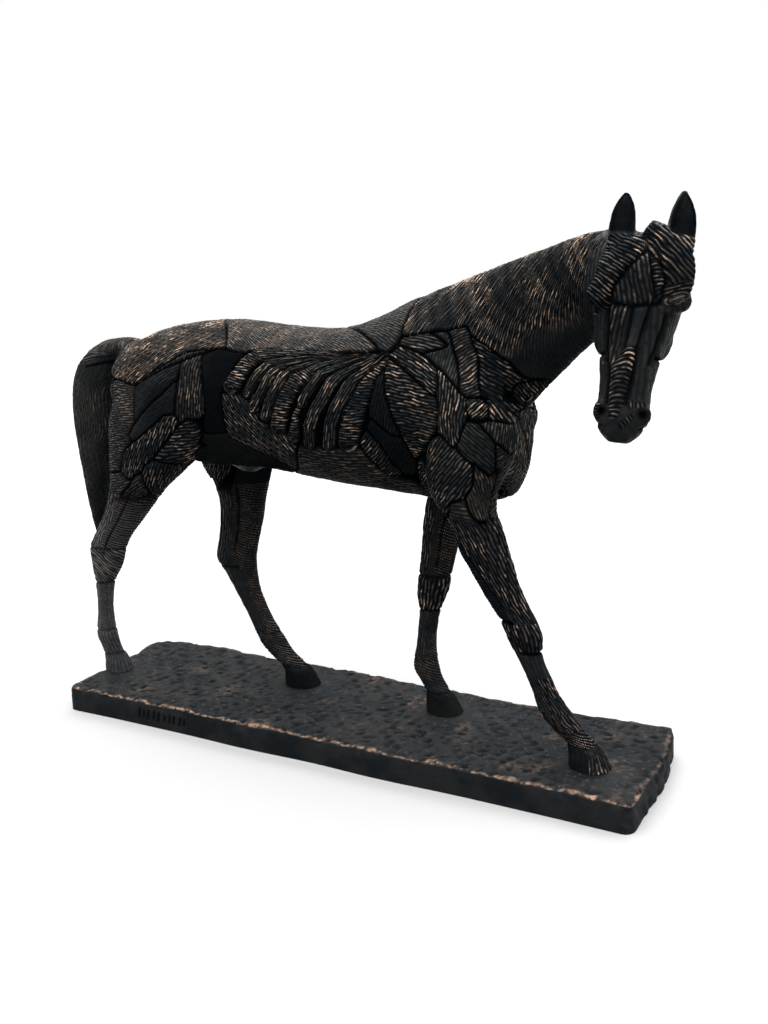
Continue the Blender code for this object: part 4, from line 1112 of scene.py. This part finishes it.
def lay_legs(skin, places):
    """Gives every point of the legs to the nearest leg and lays that leg's strands, row over row."""
    nearest = np.full(len(places), 9.0)
    height = places[:, 2]
    tall = height * SHARE
    for name, rows in LEGS.items():
        away, bearing = around_leg(places, rows)
        mine = (height < LEG_TOP) & (away < nearest)
        nearest = np.minimum(nearest, away)
        side = -1 if name.startswith("near") else 1
        round_it = ((270 - side * bearing) % 360 - 180) / 360
        level = (tall + 0.0032 * np.sin(np.radians(bearing + 40))) / ROW_PITCH
        for below, middle, spread, run, count, lean, strength, copper in LEG_STRANDS[name]:
            here = mine & (height < below) & (np.abs(bearing - middle) < spread)
            phase, along = {
                "down": (round_it * count + lean * height, tall),
                "level": (level, round_it),
                "aslant": (level * 0.8 + round_it * count, 0.7 * tall),
            }[run]
            if isinstance(copper, tuple):
                copper = np.interp(np.abs(bearing), *zip(*copper))
            skin.lay(here, phase, along, strength, copper)
        if name == "near_fore":
            rear = (bearing < np.interp(height, *zip(*NEAR_ELBOW_SEAM))) | (bearing > 120)
            # Rear of the near forearm: copper below 0, laid as painted shade
            skin.lay(mine & (height > RING_SEAMS[name][0][0]) & rear, level, tall, 0.5, -0.25)
        if name == "near_hind":
            skin.rubbed_sheen[mine] = np.interp(height, *zip(*RUBBED_SHEEN_LEG))[mine]


def lay_eye(skin, spots):
    """The left eye: a lit eyeball with folds above it and one below. Strands hide the right one."""
    left, front, down = spots.T
    out, low = left - EYE[1] + 0.5, down - EYE[0] + 0.1
    across, lengthways = 0.43 * out + 0.90 * low, 0.90 * out - 0.43 * low
    ring = np.hypot(lengthways / 2.3, across / 0.95)
    here = (left > 2.5) & (front > -2.8) & (np.abs(down - EYE[0]) < 5)
    lids = here & ((ring < 1.15) | (across < 0.2) & (ring < 2.5))
    skin.lay(lids, (ring - 0.62) / 0.60, 0.3 * STROKE_LENGTH + 1.3 * lengthways * SHARE, 1.0, 0.35)
    ball = here & (ring < 0.62)
    skin.lay(ball, across * SHARE / EYE_PITCH + 0.5, lengthways * SHARE + 0.0052, 0.7, 0.60)


def lay_head(skin, spots):
    """Strands across the right brow and along the left one, rings on the nose, lids round the left eye."""
    left, front, down = spots.T
    back_edge = np.interp(down, [-1, 6, 12, 19], [-2.5, -5.5, -10, -14])
    head = (np.abs(left) < 11.5) & (front > back_edge) & (front < 9) & (down > -2.6) & (down < 38.5)
    face = head & (front > 0)
    skin.lay(head, (left + 0.25 * front) * SHARE / CHEEK_PITCH, down * SHARE, 0.4, 0.06)
    cheek = head & (front < 0.5) & (down > 12)
    skin.lay(cheek, (front + 0.35 * down) * SHARE / CHEEK_PITCH, down * SHARE, 0.4, 0.06)
    groove_left = np.interp(down, [-3, 2.4, 5.4, 9.3, 12.1], [-0.2, 0.2, -1.9, -4.3, -4.6])
    groove_right = np.interp(down, [-3, 2.4, 4.8, 7.6, 11.6], [-0.2, 0.6, 3.3, 4.5, 4.0])
    left_brow = head & (left > groove_right) & (down < 10.5) & (front > -1.5) & (down > 0.25 * left - 2.4)
    crossing = left * 0.66 - down * 0.75
    copper = np.clip(1.1 - 0.07 * (left + down), 0.12, 1.1)
    skin.lay(left_brow, crossing * SHARE / BROW_PITCH, down * SHARE, 1.0, copper)
    right_brow = head & (left < groove_left) & (down < 13.6) & (front > -2.0) & (down > -0.3)
    rows = (down - 0.22 * left + 0.035 * left ** 2) * SHARE / BROW_PITCH
    skin.lay(right_brow, rows, left * SHARE, 1.15, np.clip((left + 8.5) / 3, 0.15, 1) * 1.2)
    middle = face & (left > groove_left + 0.3) & (left < groove_right - 0.3) & (down > 3) & (down < 12.3)
    skin.lay(middle, (left - 0.30 * down) * SHARE / FOREHEAD_PITCH, down * SHARE, 0.9, 0.28)
    ladder_left = np.interp(down, [4.3, 10.3], [2.2, 4.0])
    ladder = face & (np.abs(left - ladder_left) < 0.9) & (down > 3.8) & (down < 10.8)
    skin.lay(ladder, (down + 0.2 * left) * SHARE / BROW_PITCH, left * SHARE, 1.0, 0.9)
    slant = np.interp(down, *zip(*NOSE_SLANT))
    fine = face & (left < slant - 1.2) & (left > -4.5) & (down > 12.6) & (down < 22.5)
    skin.lay(fine, (left + 0.1 * down) * SHARE / NOSE_PITCH, down * SHARE, 0.9, 0.40)
    plate = face & (np.abs(left - slant) < 1.8) & (down > 12.6) & (down < 21.0)
    skin.lay(plate, (left + 0.2 * down) * SHARE / NOSE_PITCH, down * SHARE, 0.15, 0.12)
    slim = np.interp(down, [19, 23, 28, 32], [1.0, 2.0, 1.6, 0.8])
    rings = face & (np.abs(left - slant) < slim) & (down > 19.2) & (down < 32.4)
    curved = down - 0.16 * (left - slant) ** 2 + 0.12 * (left - slant)
    skin.lay(rings, curved * SHARE / NOSE_PITCH, left * SHARE, 1.1, 1.0)
    muzzle = head & (down > 28.5) & ~rings
    skin.lay(muzzle, (front * 0.8 + down) * SHARE / MUZZLE_PITCH, left * SHARE, 0.2, 0.06)
    for start, end in MUZZLE_STROKES:
        near = head & (front > 0) & (line_distance(left, down, start, end) < 0.6)
        aslant = (left - start[0]) * (end[0] - start[0]) + (down - start[1]) * (end[1] - start[1])
        aslant /= math.dist(start, end)
        skin.lay(near, aslant * SHARE / RIB_PITCH + 0.3, 0.5 * STROKE_LENGTH, 1.0, 0.5)
    lay_eye(skin, spots)
    ears = (down <= 0.25 * np.abs(left) - 2.6) & (down > -12) & (np.abs(left - 0.5) > 2.2)
    ears &= (np.abs(left) < 10) & (np.abs(front) < 6)
    skin.lay(ears, left * SHARE / MUZZLE_PITCH, down * SHARE, 0.2, 0.10)


def carved_form():
    """The whole figure at fine grain, with the fields that its strands are drawn from."""
    form = smoothed(remeshed(figure_tubes(), FINE_GRAIN))
    normals = coordinates(form, "vertex_normals", "vector")
    places = shares_of(form)
    metres = coordinates(form)
    warp = np.stack([waves(metres, seed, 0.020) for seed in (11, 12, 13)], axis=1) * 0.16
    warp += np.stack([waves(metres, seed, 0.005, 16) for seed in (14, 15, 16)], axis=1) * 0.07
    bent = places + warp
    u, v = unrolled(places + warp * 0.5, normals)
    owner, inside, to_seam = nearest_plates(u, v)
    rib, away, aside, run, steep, gap = nearest_ribs(u, v)
    ribs = (away < 1.35) & (inside < 0.2) | (away < 1.0) & (inside < 1.2)
    skin = Strands(len(places))
    lay_plates(skin, bent, *unrolled(bent, normals), owner)
    lay_ribs(skin, ribs, rib, aside, run, steep)
    lay_neck(skin, bent, np.array([plate[0] == "neck" for plate in PLATES])[owner])
    lay_legs(skin, bent)
    tail = lay_tail(skin, bent)
    sheath = (np.linalg.norm(places - SHEATH[:3], axis=1) < 5.0) & (places[:, 2] < SHEATH[2] - 0.6)
    skin.lay(sheath, 0.5, 0.5 * STROKE_LENGTH, 0.6, 0.05)
    turn, shift = into_head()
    spots = (metres @ turn + shift) / SHARE
    lay_head(skin, spots + warp * 0.5)

    jitter = 0.13 * waves(metres, 71, 0.0080, 20) + 0.05 * waves(metres, 72, 0.0030, 24)
    skin.phase += jitter * np.clip(skin.strength, 0, 1)

    edge = np.where(ribs, np.minimum((1.2 - away) * 1.6, gap + 0.12), to_seam)
    lowered = np.clip(1.0 - edge / 0.5, 0, 1)
    lowered = lowered * lowered * (3 - 2 * lowered)
    body = body_share(places) * np.clip(np.abs(normals[:, 1]) * 2.2, 0.3, 1)
    body *= ~tail
    split = groove(line_distance(places[:, 0], places[:, 2], (-60, 87.6), (-75, 85.2)), 0.5) * tail
    seams = (lowered * SEAM_DEPTH + 0.0004 * np.exp(-np.clip(edge, 0, None) / 1.3)) * body + split * 0.0008
    legs = leg_carving(places)
    head, ear = head_carving(spots, normals)
    fine = strand_profile(skin.phase, skin.along) - 0.5
    carved = seams + legs
    quiet = np.clip(1 - carved / SEAM_DEPTH, 0, 1)
    hoof_top = np.clip((places[:, 2] - 0.5) / 1.0, 0.2, 1)
    relief = fine * STRAND_DEPTH * skin.strength * quiet * hoof_top
    grain = waves(metres, 31, 0.0032, 24) * 0.00005 + waves(metres, 32, 0.009, 12) * 0.00010
    moved = metres + normals * (relief + grain - carved - head)[:, None]
    moved -= np.array(head_frame().to_3x3().col[1]) * ear[:, None]
    form.vertices.foreach_set("co", moved.astype(np.float32).ravel())
    # Painted shade: seams, leg rings, the tail split, carvings of the face, ear hollows and plates whose
    # copper is below 0 go near black
    recess_shade = np.clip(np.maximum(lowered * body + split, legs * 1.3 / SEAM_DEPTH), 0, 1)
    recess_shade = np.maximum(recess_shade, -skin.copper) + head / SEAM_DEPTH * 1.3 + ear / SHARE * 0.40
    store(form, {
        "phase": skin.phase, "along": skin.along, "strength": skin.strength, "rubbed_sheen": skin.rubbed_sheen,
        "copper": np.clip(skin.copper, 0, 2), "recess_shade": np.clip(recess_shade, 0, 1),
    })
    form.update()
    return form


def slab(form, low, high, name):
    """The part of the form between two forward places, closed at its cuts and level at the soles."""
    bm = bmesh.new()
    bm.from_mesh(form)
    for place, side in (((low, 0, 0), (-1, 0, 0)), ((high, 0, 0), (1, 0, 0)),
                        ((0, 0, PLINTH_THICKNESS + SEAT_GAP), (0, 0, -1))):
        cut = bmesh.ops.bisect_plane(
            bm, geom=bm.verts[:] + bm.edges[:] + bm.faces[:], dist=0.00005,
            plane_co=place, plane_no=side, clear_outer=True,
        )
        rim = [edge for edge in cut["geom_cut"] if isinstance(edge, bmesh.types.BMEdge)]
        if rim:
            bmesh.ops.edgeloop_fill(bm, edges=rim)
        for edge in rim:
            edge.smooth = False
    for face in bm.faces:
        face.smooth = True
    bmesh.ops.triangulate(bm, faces=[face for face in bm.faces if len(face.verts) > 4])
    made = bpy.data.meshes.new(name)
    bm.to_mesh(made)
    bm.free()
    return made


def figure_slabs(form, count):
    """The figure in slabs of about equal vertex count from tail to chest."""
    forward = coordinates(form)[:, 0]
    cuts = [-1.0, *np.quantile(forward, np.arange(1, count) / count), 1.0]
    return [slab(form, cuts[k], cuts[k + 1], f"figure_{k + 1}") for k in range(count)]


def earth_outline(points, length, width):
    """Bends the sides of the plinth a little out of true: the front end and the near side bulge, the
    rear end slants."""
    x, y = points[:, 0], points[:, 1]
    front = np.clip(x / (length / 2) * 8 - 7, 0, 1) * 0.0044 * np.exp(-((y - 0.006) / 0.037) ** 2)
    rear = np.clip(-x / (length / 2) * 8 - 7, 0, 1) * (0.0016 + 0.0016 * np.clip(y / 0.03, 0, 1))
    outer = np.clip(np.abs(y) / (width / 2) * 4 - 3, 0, 1)
    beside = outer * 0.0006 * waves(points * [1, 1, 0.4], 46, 0.060, 7)
    bulge = outer * (y < 0) * 0.0022 * np.clip((x + 0.15) / 0.14, 0, 1)
    return np.stack([x + front - rear, y + np.sign(y) * beside - bulge, points[:, 2]], axis=1)


def earth_block(length, width):
    """The plain slab with rounded corners and eased upper edges, at an even grain."""
    bm = bmesh.new()
    bmesh.ops.create_cube(bm, size=1.0)
    bmesh.ops.transform(bm, verts=bm.verts, matrix=Matrix.Translation((0, 0, PLINTH_THICKNESS / 2))
                        @ Matrix.Diagonal((length, width, PLINTH_THICKNESS, 1)))
    upright = [e for e in bm.edges if abs(e.verts[0].co.z - e.verts[1].co.z) > 0.001]
    square = [e for e in upright if not e.verts[0].co.x < 0 < e.verts[0].co.y]
    easing = {"profile": 0.5, "affect": "EDGES", "material": -1}
    bmesh.ops.bevel(bm, geom=square, offset=PLINTH_CORNER, segments=4, **easing)
    far_heel = [e for e in bm.edges if abs(e.verts[0].co.z - e.verts[1].co.z) > 0.001
                and e.verts[0].co.x < -length / 2 + 0.0001 and e.verts[0].co.y > width / 2 - 0.0001]
    bmesh.ops.bevel(bm, geom=far_heel, offset=PLINTH_FAR_CORNER, segments=8, **easing)
    upper = [e for e in bm.edges if min(v.co.z for v in e.verts) > PLINTH_THICKNESS - 0.001]
    bmesh.ops.bevel(bm, geom=upper, offset=PLINTH_EDGE, segments=3, **easing)
    plain = bpy.data.meshes.new("earth")
    bm.to_mesh(plain)
    bm.free()
    return remeshed(plain, EARTH_GRAIN)


def close_underneath(mesh):
    """Cuts the slab off just above the ground and closes it with a flat underside."""
    bm = bmesh.new()
    bm.from_mesh(mesh)
    cut = bmesh.ops.bisect_plane(
        bm, geom=bm.verts[:] + bm.edges[:] + bm.faces[:], dist=0.00005,
        plane_co=(0, 0, 0.0012), plane_no=(0, 0, -1), clear_outer=True,
    )
    rim = [edge for edge in cut["geom_cut"] if isinstance(edge, bmesh.types.BMEdge)]
    skirt = bmesh.ops.extrude_edge_only(bm, edges=rim)["geom"]
    lower = [v for v in skirt if isinstance(v, bmesh.types.BMVert)]
    for vert in lower:
        vert.co.z = 0.0
    bottom = [e for e in skirt if isinstance(e, bmesh.types.BMEdge) and not any(v.co.z for v in e.verts)]
    bmesh.ops.edgeloop_fill(bm, edges=bottom)
    for face in bm.faces:
        face.smooth = True
    for edge in bottom:
        edge.smooth = False
    bmesh.ops.recalc_face_normals(bm, faces=bm.faces)
    bmesh.ops.triangulate(bm, faces=[face for face in bm.faces if len(face.verts) > 4])
    bm.to_mesh(mesh)
    bm.free()


def earth_mesh():
    """The slab under the horse: rough pitted earth on top, worn edges, smoother sides, flat underneath."""
    length, width = plinth_size()
    made = earth_block(length, width)
    points = coordinates(made)
    normals = coordinates(made, "vertex_normals", "vector")
    inset = np.minimum(length / 2 - np.abs(points[:, 0]), width / 2 - np.abs(points[:, 1]))
    top = np.clip(normals[:, 2], 0, 1)
    side = np.clip(1 - np.abs(normals[:, 2]) * 1.4, 0, 1)
    level = np.ones(len(points))
    for rows in LEGS.values():
        spot = share_point(rows[-1][0] + HOOF[-1][0], rows[-1][1], 0)
        away = np.hypot(points[:, 0] - spot.x, points[:, 1] - spot.y)
        level = np.minimum(level, np.clip(away / (6.4 * SHARE) - 0.85, 0, 1))

    flat = points * [1, 1, 0]
    lumps = 0.5 + 0.5 * np.tanh(waves(flat, 41, 0.015, 14))
    dabs = np.clip(waves(flat * [1, 1.25, 0], 42, 0.0062, 26) - 0.15, 0, 1.5)
    pits = np.clip(waves(flat, 49, 0.0042, 26) - 0.9, 0, 1.2)
    drop = (0.0007 * lumps + 0.0008 * dabs + 0.0007 * pits) * level * top
    rise = np.interp(points[:, 0], *zip(*MOUND)) * np.clip((points[:, 1] - 0.018) / 0.022, 0, 1)
    rise *= np.clip(points[:, 2] / PLINTH_THICKNESS, 0, 1) * level
    edge_run = np.clip(1 - inset / 0.004, 0, 1) * np.clip(points[:, 2] / PLINTH_THICKNESS * 3 - 2, 0, 1)
    wear = edge_run * (0.0003 + 0.0009 * np.clip(waves(points, 44, 0.009, 14), 0, 2))
    dents = side * 0.00025 * np.clip(waves(points, 45, 0.006, 20) - 1.1, 0, 2)
    broken = side * np.clip((points[:, 0] - length / 2 + 0.006) / 0.004, 0, 1)
    broken *= 0.0006 * np.clip(waves(points, 47, 0.007, 20) + 0.3, 0, 1.6)
    strokes = stroke_depth(points, width)
    moved = points - normals * (wear + dents + broken + strokes)[:, None]
    moved[:, 2] += rise - drop
    moved = earth_outline(moved, length, width)
    made.vertices.foreach_set("co", moved.astype(np.float32).ravel())

    wander = 0.0016 + 0.0008 * waves(flat, 50, 0.020, 8)
    reach = 0.0009 + 0.0012 * np.clip(waves(flat, 51, 0.016, 10) - 0.5, 0, 1.6)
    line = np.clip(1.4 - np.abs(inset - wander) / reach, 0, 1) * np.clip(normals[:, 2] * 2 - 0.2, 0, 1)
    line *= np.clip(waves(flat, 48, 0.0065, 16) * 0.6 + 0.75, 0, 1)
    # The near edge is kept four times as bright as the others: painted highlight over the worn copper
    line *= np.where(points[:, 1] < -width / 2 + 0.012, 1.0, 0.25)
    patch = 0.16 * np.clip(waves(flat, 52, 0.030, 8) - 0.8, 0, 1) * top * (1 - np.clip(dabs * 1.5, 0, 1))
    # Painted shade: the pits, dabs and scratched strokes are darkened
    hollow = (dabs * 0.65 + pits * 0.9) * level * top + strokes / 0.0005
    worn_and_highlight = np.maximum(line, patch)
    store(made, {"worn_and_highlight": np.clip(worn_and_highlight, 0, 1), "hollow": np.clip(hollow, 0, 1), "top": top})
    close_underneath(made)
    return made


def stroke_depth(points, width):
    """A short row of slanting strokes scratched into the near side; they spell nothing."""
    near = points[:, 1] < -width / 2 + 0.0012
    depth = np.zeros(len(points))
    for x, z, run, rise in STROKES:
        away = line_distance(points[:, 0], points[:, 2], (x, z), (x + run, z + rise))
        depth = np.maximum(depth, np.clip(1.3 - away / 0.0009, 0, 1) * 0.0006)
    return depth * near


def give(tree, socket, value):
    """Joins a socket to another, or sets its value."""
    if isinstance(value, bpy.types.NodeSocket):
        tree.links.new(value, socket)
    else:
        socket.default_value = value


def sum_of(tree, operation, *values, clamp=False):
    """One Math node."""
    made = tree.nodes.new("ShaderNodeMath")
    made.operation = operation
    made.use_clamp = clamp
    for socket, value in zip(made.inputs, values):
        give(tree, socket, value)
    return made.outputs[0]


def stretch(tree, value, low, high, to_low=0.0, to_high=1.0):
    """Smoothly maps a value from one range to another, held at both ends."""
    made = tree.nodes.new("ShaderNodeMapRange")
    made.interpolation_type = "SMOOTHSTEP"
    tree.links.new(value, made.inputs["Value"])
    for name, number in (("From Min", low), ("From Max", high), ("To Min", to_low), ("To Max", to_high)):
        made.inputs[name].default_value = number
    return made.outputs["Result"]


def field(tree, name):
    """A field stored on the piece."""
    made = tree.nodes.new("ShaderNodeAttribute")
    made.attribute_name = name
    return made.outputs["Fac"]


def tint(tree, amount, first, second):
    """Mixes two colours, each a value or a socket."""
    made = tree.nodes.new("ShaderNodeMix")
    made.data_type = "RGBA"
    made.blend_type = "MIX"
    give(tree, made.inputs[0], amount)
    for socket, colour in ((made.inputs[6], first), (made.inputs[7], second)):
        give(tree, socket, (*colour, 1) if isinstance(colour, tuple) else colour)
    return made.outputs[2]


def mottle(tree, scale, detail=3.0, roughness=0.6):
    """Cloudy noise in the piece's own space."""
    place = tree.nodes.new("ShaderNodeTexCoord").outputs["Object"]
    made = tree.nodes.new("ShaderNodeTexNoise")
    tree.links.new(place, made.inputs["Vector"])
    made.inputs["Scale"].default_value = scale
    made.inputs["Detail"].default_value = detail
    made.inputs["Roughness"].default_value = roughness
    return made.outputs[0]


def roughen(tree, shader, distance, height):
    """Fine relief of the patina, too small for the mesh."""
    made = tree.nodes.new("ShaderNodeBump")
    made.inputs["Distance"].default_value = distance
    made.inputs["Strength"].default_value = 0.8
    tree.links.new(height, made.inputs["Height"])
    tree.links.new(made.outputs[0], shader.inputs["Normal"])


def strand_bronze():
    """Painted shade in the seams, carvings and troughs between strands, dark and brown patina on the flats,
    copper along the crests that is partly real wear and partly painted glints, and a pale painted sheen
    where the strands are faint and on the rubbed near hind leg.
    """
    made = bpy.data.materials.new("bronze_figure")
    made.use_nodes = True
    tree = made.node_tree
    shader = tree.nodes["Principled BSDF"]
    phase, along, strength = field(tree, "phase"), field(tree, "along"), field(tree, "strength")
    copper, recess_shade = field(tree, "copper"), field(tree, "recess_shade")
    number = sum_of(tree, "FLOOR", phase)
    ridge = sum_of(tree, "PINGPONG", sum_of(tree, "MULTIPLY", sum_of(tree, "FRACT", phase), 2.0), 1.0)
    shift = sum_of(tree, "FRACT", sum_of(tree, "MULTIPLY", number, 0.618034))
    place = sum_of(tree, "ADD", sum_of(tree, "DIVIDE", along, STROKE_LENGTH), shift)
    stroke = sum_of(tree, "FRACT", place)
    turn = sum_of(tree, "MULTIPLY", sum_of(tree, "FLOOR", place), 78.2)
    turn = sum_of(tree, "MULTIPLY_ADD", number, 12.9, turn)
    own = sum_of(tree, "MULTIPLY_ADD", sum_of(tree, "SINE", turn), 0.20, 0.80)
    end = sum_of(tree, "MINIMUM", stroke, sum_of(tree, "SUBTRACT", 1.0, stroke))
    taper = sum_of(tree, "MULTIPLY", end, 6.0, clamp=True)
    height = sum_of(tree, "MULTIPLY", ridge, sum_of(tree, "MULTIPLY_ADD", taper, 0.65, 0.35))
    height = sum_of(tree, "MULTIPLY", height, own)
    firm = sum_of(tree, "MINIMUM", strength, 1.0)
    height = sum_of(tree, "MULTIPLY_ADD", sum_of(tree, "SUBTRACT", height, 0.5), firm, 0.5)
    open_skin = sum_of(tree, "SUBTRACT", 1.0, recess_shade, clamp=True)
    # Where copper shows on the crests: partly real wear, partly painted glints, broken by streak noise and
    # gathered into the patches of lit_area, which paints where light catches
    crest = stretch(tree, height, 0.50, 0.88)
    blotch = stretch(tree, mottle(tree, 330.0, 4.0, 0.7), 0.38, 0.62)
    lit_area = stretch(tree, mottle(tree, 75.0, 2.0), 0.42, 0.60, 0.22, 1.0)
    spot = tree.nodes.new("ShaderNodeCombineXYZ")
    tree.links.new(sum_of(tree, "MULTIPLY_ADD", number, 1.37, 0.31), spot.inputs[0])
    tree.links.new(sum_of(tree, "MULTIPLY", along, 260.0), spot.inputs[1])
    streak = tree.nodes.new("ShaderNodeTexNoise")
    tree.links.new(spot.outputs[0], streak.inputs["Vector"])
    streak.inputs["Scale"].default_value = 1.0
    streak.inputs["Detail"].default_value = 3.0
    crest = sum_of(tree, "MULTIPLY", crest, stretch(tree, streak.outputs[0], 0.36, 0.62, 0.06, 1.15))
    # Where the strands are faint a flat share of colour shows anyway: painted sheen
    flat = sum_of(tree, "MULTIPLY_ADD", firm, -0.16, 0.16)
    crest = sum_of(tree, "MULTIPLY_ADD", crest, firm, flat)
    bare_and_glint = sum_of(tree, "MULTIPLY", sum_of(tree, "MULTIPLY", crest, copper),
                  sum_of(tree, "MULTIPLY", sum_of(tree, "MULTIPLY_ADD", blotch, 0.85, 0.15), open_skin))
    bare_and_glint = sum_of(tree, "MULTIPLY", bare_and_glint, lit_area, clamp=True)
    ground = tint(tree, stretch(tree, mottle(tree, 24.0), 0.35, 0.65), DARK_PATINA, BROWN_PATINA)
    # Painted shade: the troughs between strands go darker than the crests
    skin = tint(tree, stretch(tree, height, 0.0, 0.55), TROUGH_SHADE, ground)
    # Rubbed near hind leg: lighter grey on its raised parts, partly wear, partly painted sheen
    rubbed_sheen = sum_of(tree, "MULTIPLY", field(tree, "rubbed_sheen"), stretch(tree, height, 0.1, 0.6))
    skin = tint(tree, rubbed_sheen, skin, RUBBED_SHEEN)
    # Painted shade, laid near black by the recess field
    skin = tint(tree, recess_shade, skin, HOLLOW_SHADE)
    # Painted sheen in pale grey where strands are faint, copper where they are firm
    copper_and_sheen = tint(tree, stretch(tree, firm, 0.35, 0.75), PALE_SHEEN, COPPER_AND_GLINT)
    colour = tint(tree, bare_and_glint, skin, copper_and_sheen)
    tree.links.new(colour, shader.inputs["Base Color"])
    tree.links.new(sum_of(tree, "MULTIPLY", bare_and_glint, 0.55), shader.inputs["Metallic"])
    tree.links.new(stretch(tree, mottle(tree, 400.0), 0.3, 0.7, 0.34, 0.5), shader.inputs["Roughness"])
    lit = stretch(tree, sum_of(tree, "MULTIPLY", height, open_skin), 0.25, 0.95, 0.0, FIGURE_SHEEN)
    tree.links.new(lit, shader.inputs["Specular IOR Level"])
    rough = sum_of(tree, "MULTIPLY_ADD", mottle(tree, 700.0, 3.0), 0.45, height)
    roughen(tree, shader, 0.00035, rough)
    return made


def earth_bronze():
    """Dark rough earth with painted shade in its pits and strokes, pale specks on its upper faces as
    painted highlights, and copper along the worn upper edges, brightest on the near edge as a painted
    highlight.
    """
    made = bpy.data.materials.new("bronze_plinth")
    made.use_nodes = True
    tree = made.node_tree
    shader = tree.nodes["Principled BSDF"]
    worn_and_highlight, hollow = field(tree, "worn_and_highlight"), field(tree, "hollow")
    ground = tint(tree, stretch(tree, mottle(tree, 40.0), 0.38, 0.62), DARK_EARTH, BROWN_EARTH)
    # Painted highlights: pale specks, on upward faces only
    glint_speck = stretch(tree, mottle(tree, 420.0), 0.55, 0.70)
    ground = tint(tree, sum_of(tree, "MULTIPLY", glint_speck, sum_of(tree, "MULTIPLY", field(tree, "top"), 0.6)),
                  ground, EARTH_GLINT_SPECK)
    # Painted shade in the pits and strokes
    ground = tint(tree, hollow, ground, HOLLOW_SHADE)
    # Worn copper on the edges, brightest on the near edge as a painted highlight
    bare_and_glint = sum_of(tree, "MULTIPLY", worn_and_highlight, stretch(tree, mottle(tree, 420.0), 0.36, 0.58))
    tree.links.new(tint(tree, bare_and_glint, ground, EDGE_COPPER_AND_HIGHLIGHT), shader.inputs["Base Color"])
    tree.links.new(sum_of(tree, "MULTIPLY", bare_and_glint, 0.5), shader.inputs["Metallic"])
    shader.inputs["Roughness"].default_value = 0.55
    shader.inputs["Specular IOR Level"].default_value = EARTH_SHEEN
    roughen(tree, shader, 0.0009, mottle(tree, 330.0, 5.0, 0.7))
    return made


def piece(name, mesh, look, node):
    """Puts one finished mesh into the frame in place of a node of the CAD."""
    mesh.materials.clear()
    mesh.materials.append(look)
    made = bpy.data.objects.new(name, mesh)
    bpy.context.scene.collection.objects.link(made)
    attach(made, "root")
    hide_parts(node)
    return made


def studio():
    """A pale floor under a white sky that is brightest overhead."""
    bm = bmesh.new()
    bmesh.ops.create_circle(bm, cap_ends=True, segments=96, radius=6.0)
    mesh = bpy.data.meshes.new("floor")
    bm.to_mesh(mesh)
    bm.free()
    floor = bpy.data.objects.new("floor", mesh)
    floor.location.z = cad_box[0][2]
    bpy.context.scene.collection.objects.link(floor)
    paint = bpy.data.materials.new("floor_paint")
    paint.use_nodes = True
    shader = paint.node_tree.nodes["Principled BSDF"]
    shader.inputs["Base Color"].default_value = FLOOR_COLOUR
    shader.inputs["Roughness"].default_value = 0.9
    shader.inputs["Specular IOR Level"].default_value = 0.1
    mesh.materials.append(paint)

    world = bpy.data.worlds.new("white_room")
    world.use_nodes = True
    tree = world.node_tree
    split = tree.nodes.new("ShaderNodeSeparateXYZ")
    tree.links.new(tree.nodes.new("ShaderNodeTexCoord").outputs["Generated"], split.inputs[0])
    light = stretch(tree, split.outputs["Z"], 0.35, 0.95, *SKY)
    tree.nodes["Background"].inputs["Color"].default_value = (1, 1, 1, 1)
    tree.links.new(light, tree.nodes["Background"].inputs["Strength"])
    bpy.context.scene.world = world
    bpy.context.scene.view_settings.view_transform = "Standard"


def camera():
    """The photograph's viewpoint, worked out from the plinth's corners."""
    yaw, pitch, roll = (math.radians(angle) for angle in CAMERA_TURN)
    ahead = Vector((-math.sin(yaw) * math.cos(pitch), math.cos(yaw) * math.cos(pitch), -math.sin(pitch)))
    level = Vector((math.cos(yaw), math.sin(yaw), 0))
    above = level.cross(ahead)
    right = level * math.cos(roll) + above * math.sin(roll)
    up = above * math.cos(roll) - level * math.sin(roll)
    eye = bpy.data.cameras.new("camera")
    eye.sensor_fit = "HORIZONTAL"
    eye.sensor_width = 36.0
    eye.lens = 36.0 * FOCAL_PIXELS / 768
    eye.clip_start = 0.02
    made = bpy.data.objects.new("camera", eye)
    made.matrix_world = Matrix.Translation(CAMERA_PLACE) @ Matrix((right, up, -ahead)).transposed().to_4x4()
    bpy.context.scene.collection.objects.link(made)
    bpy.context.scene.camera = made


figure_look = strand_bronze()
for number, mesh in enumerate(figure_slabs(carved_form(), FIGURE_SLABS)):
    piece(f"figure_{number + 1}", mesh, figure_look, "horse")
piece("earth", earth_mesh(), earth_bronze(), "plinth")
studio()
camera()
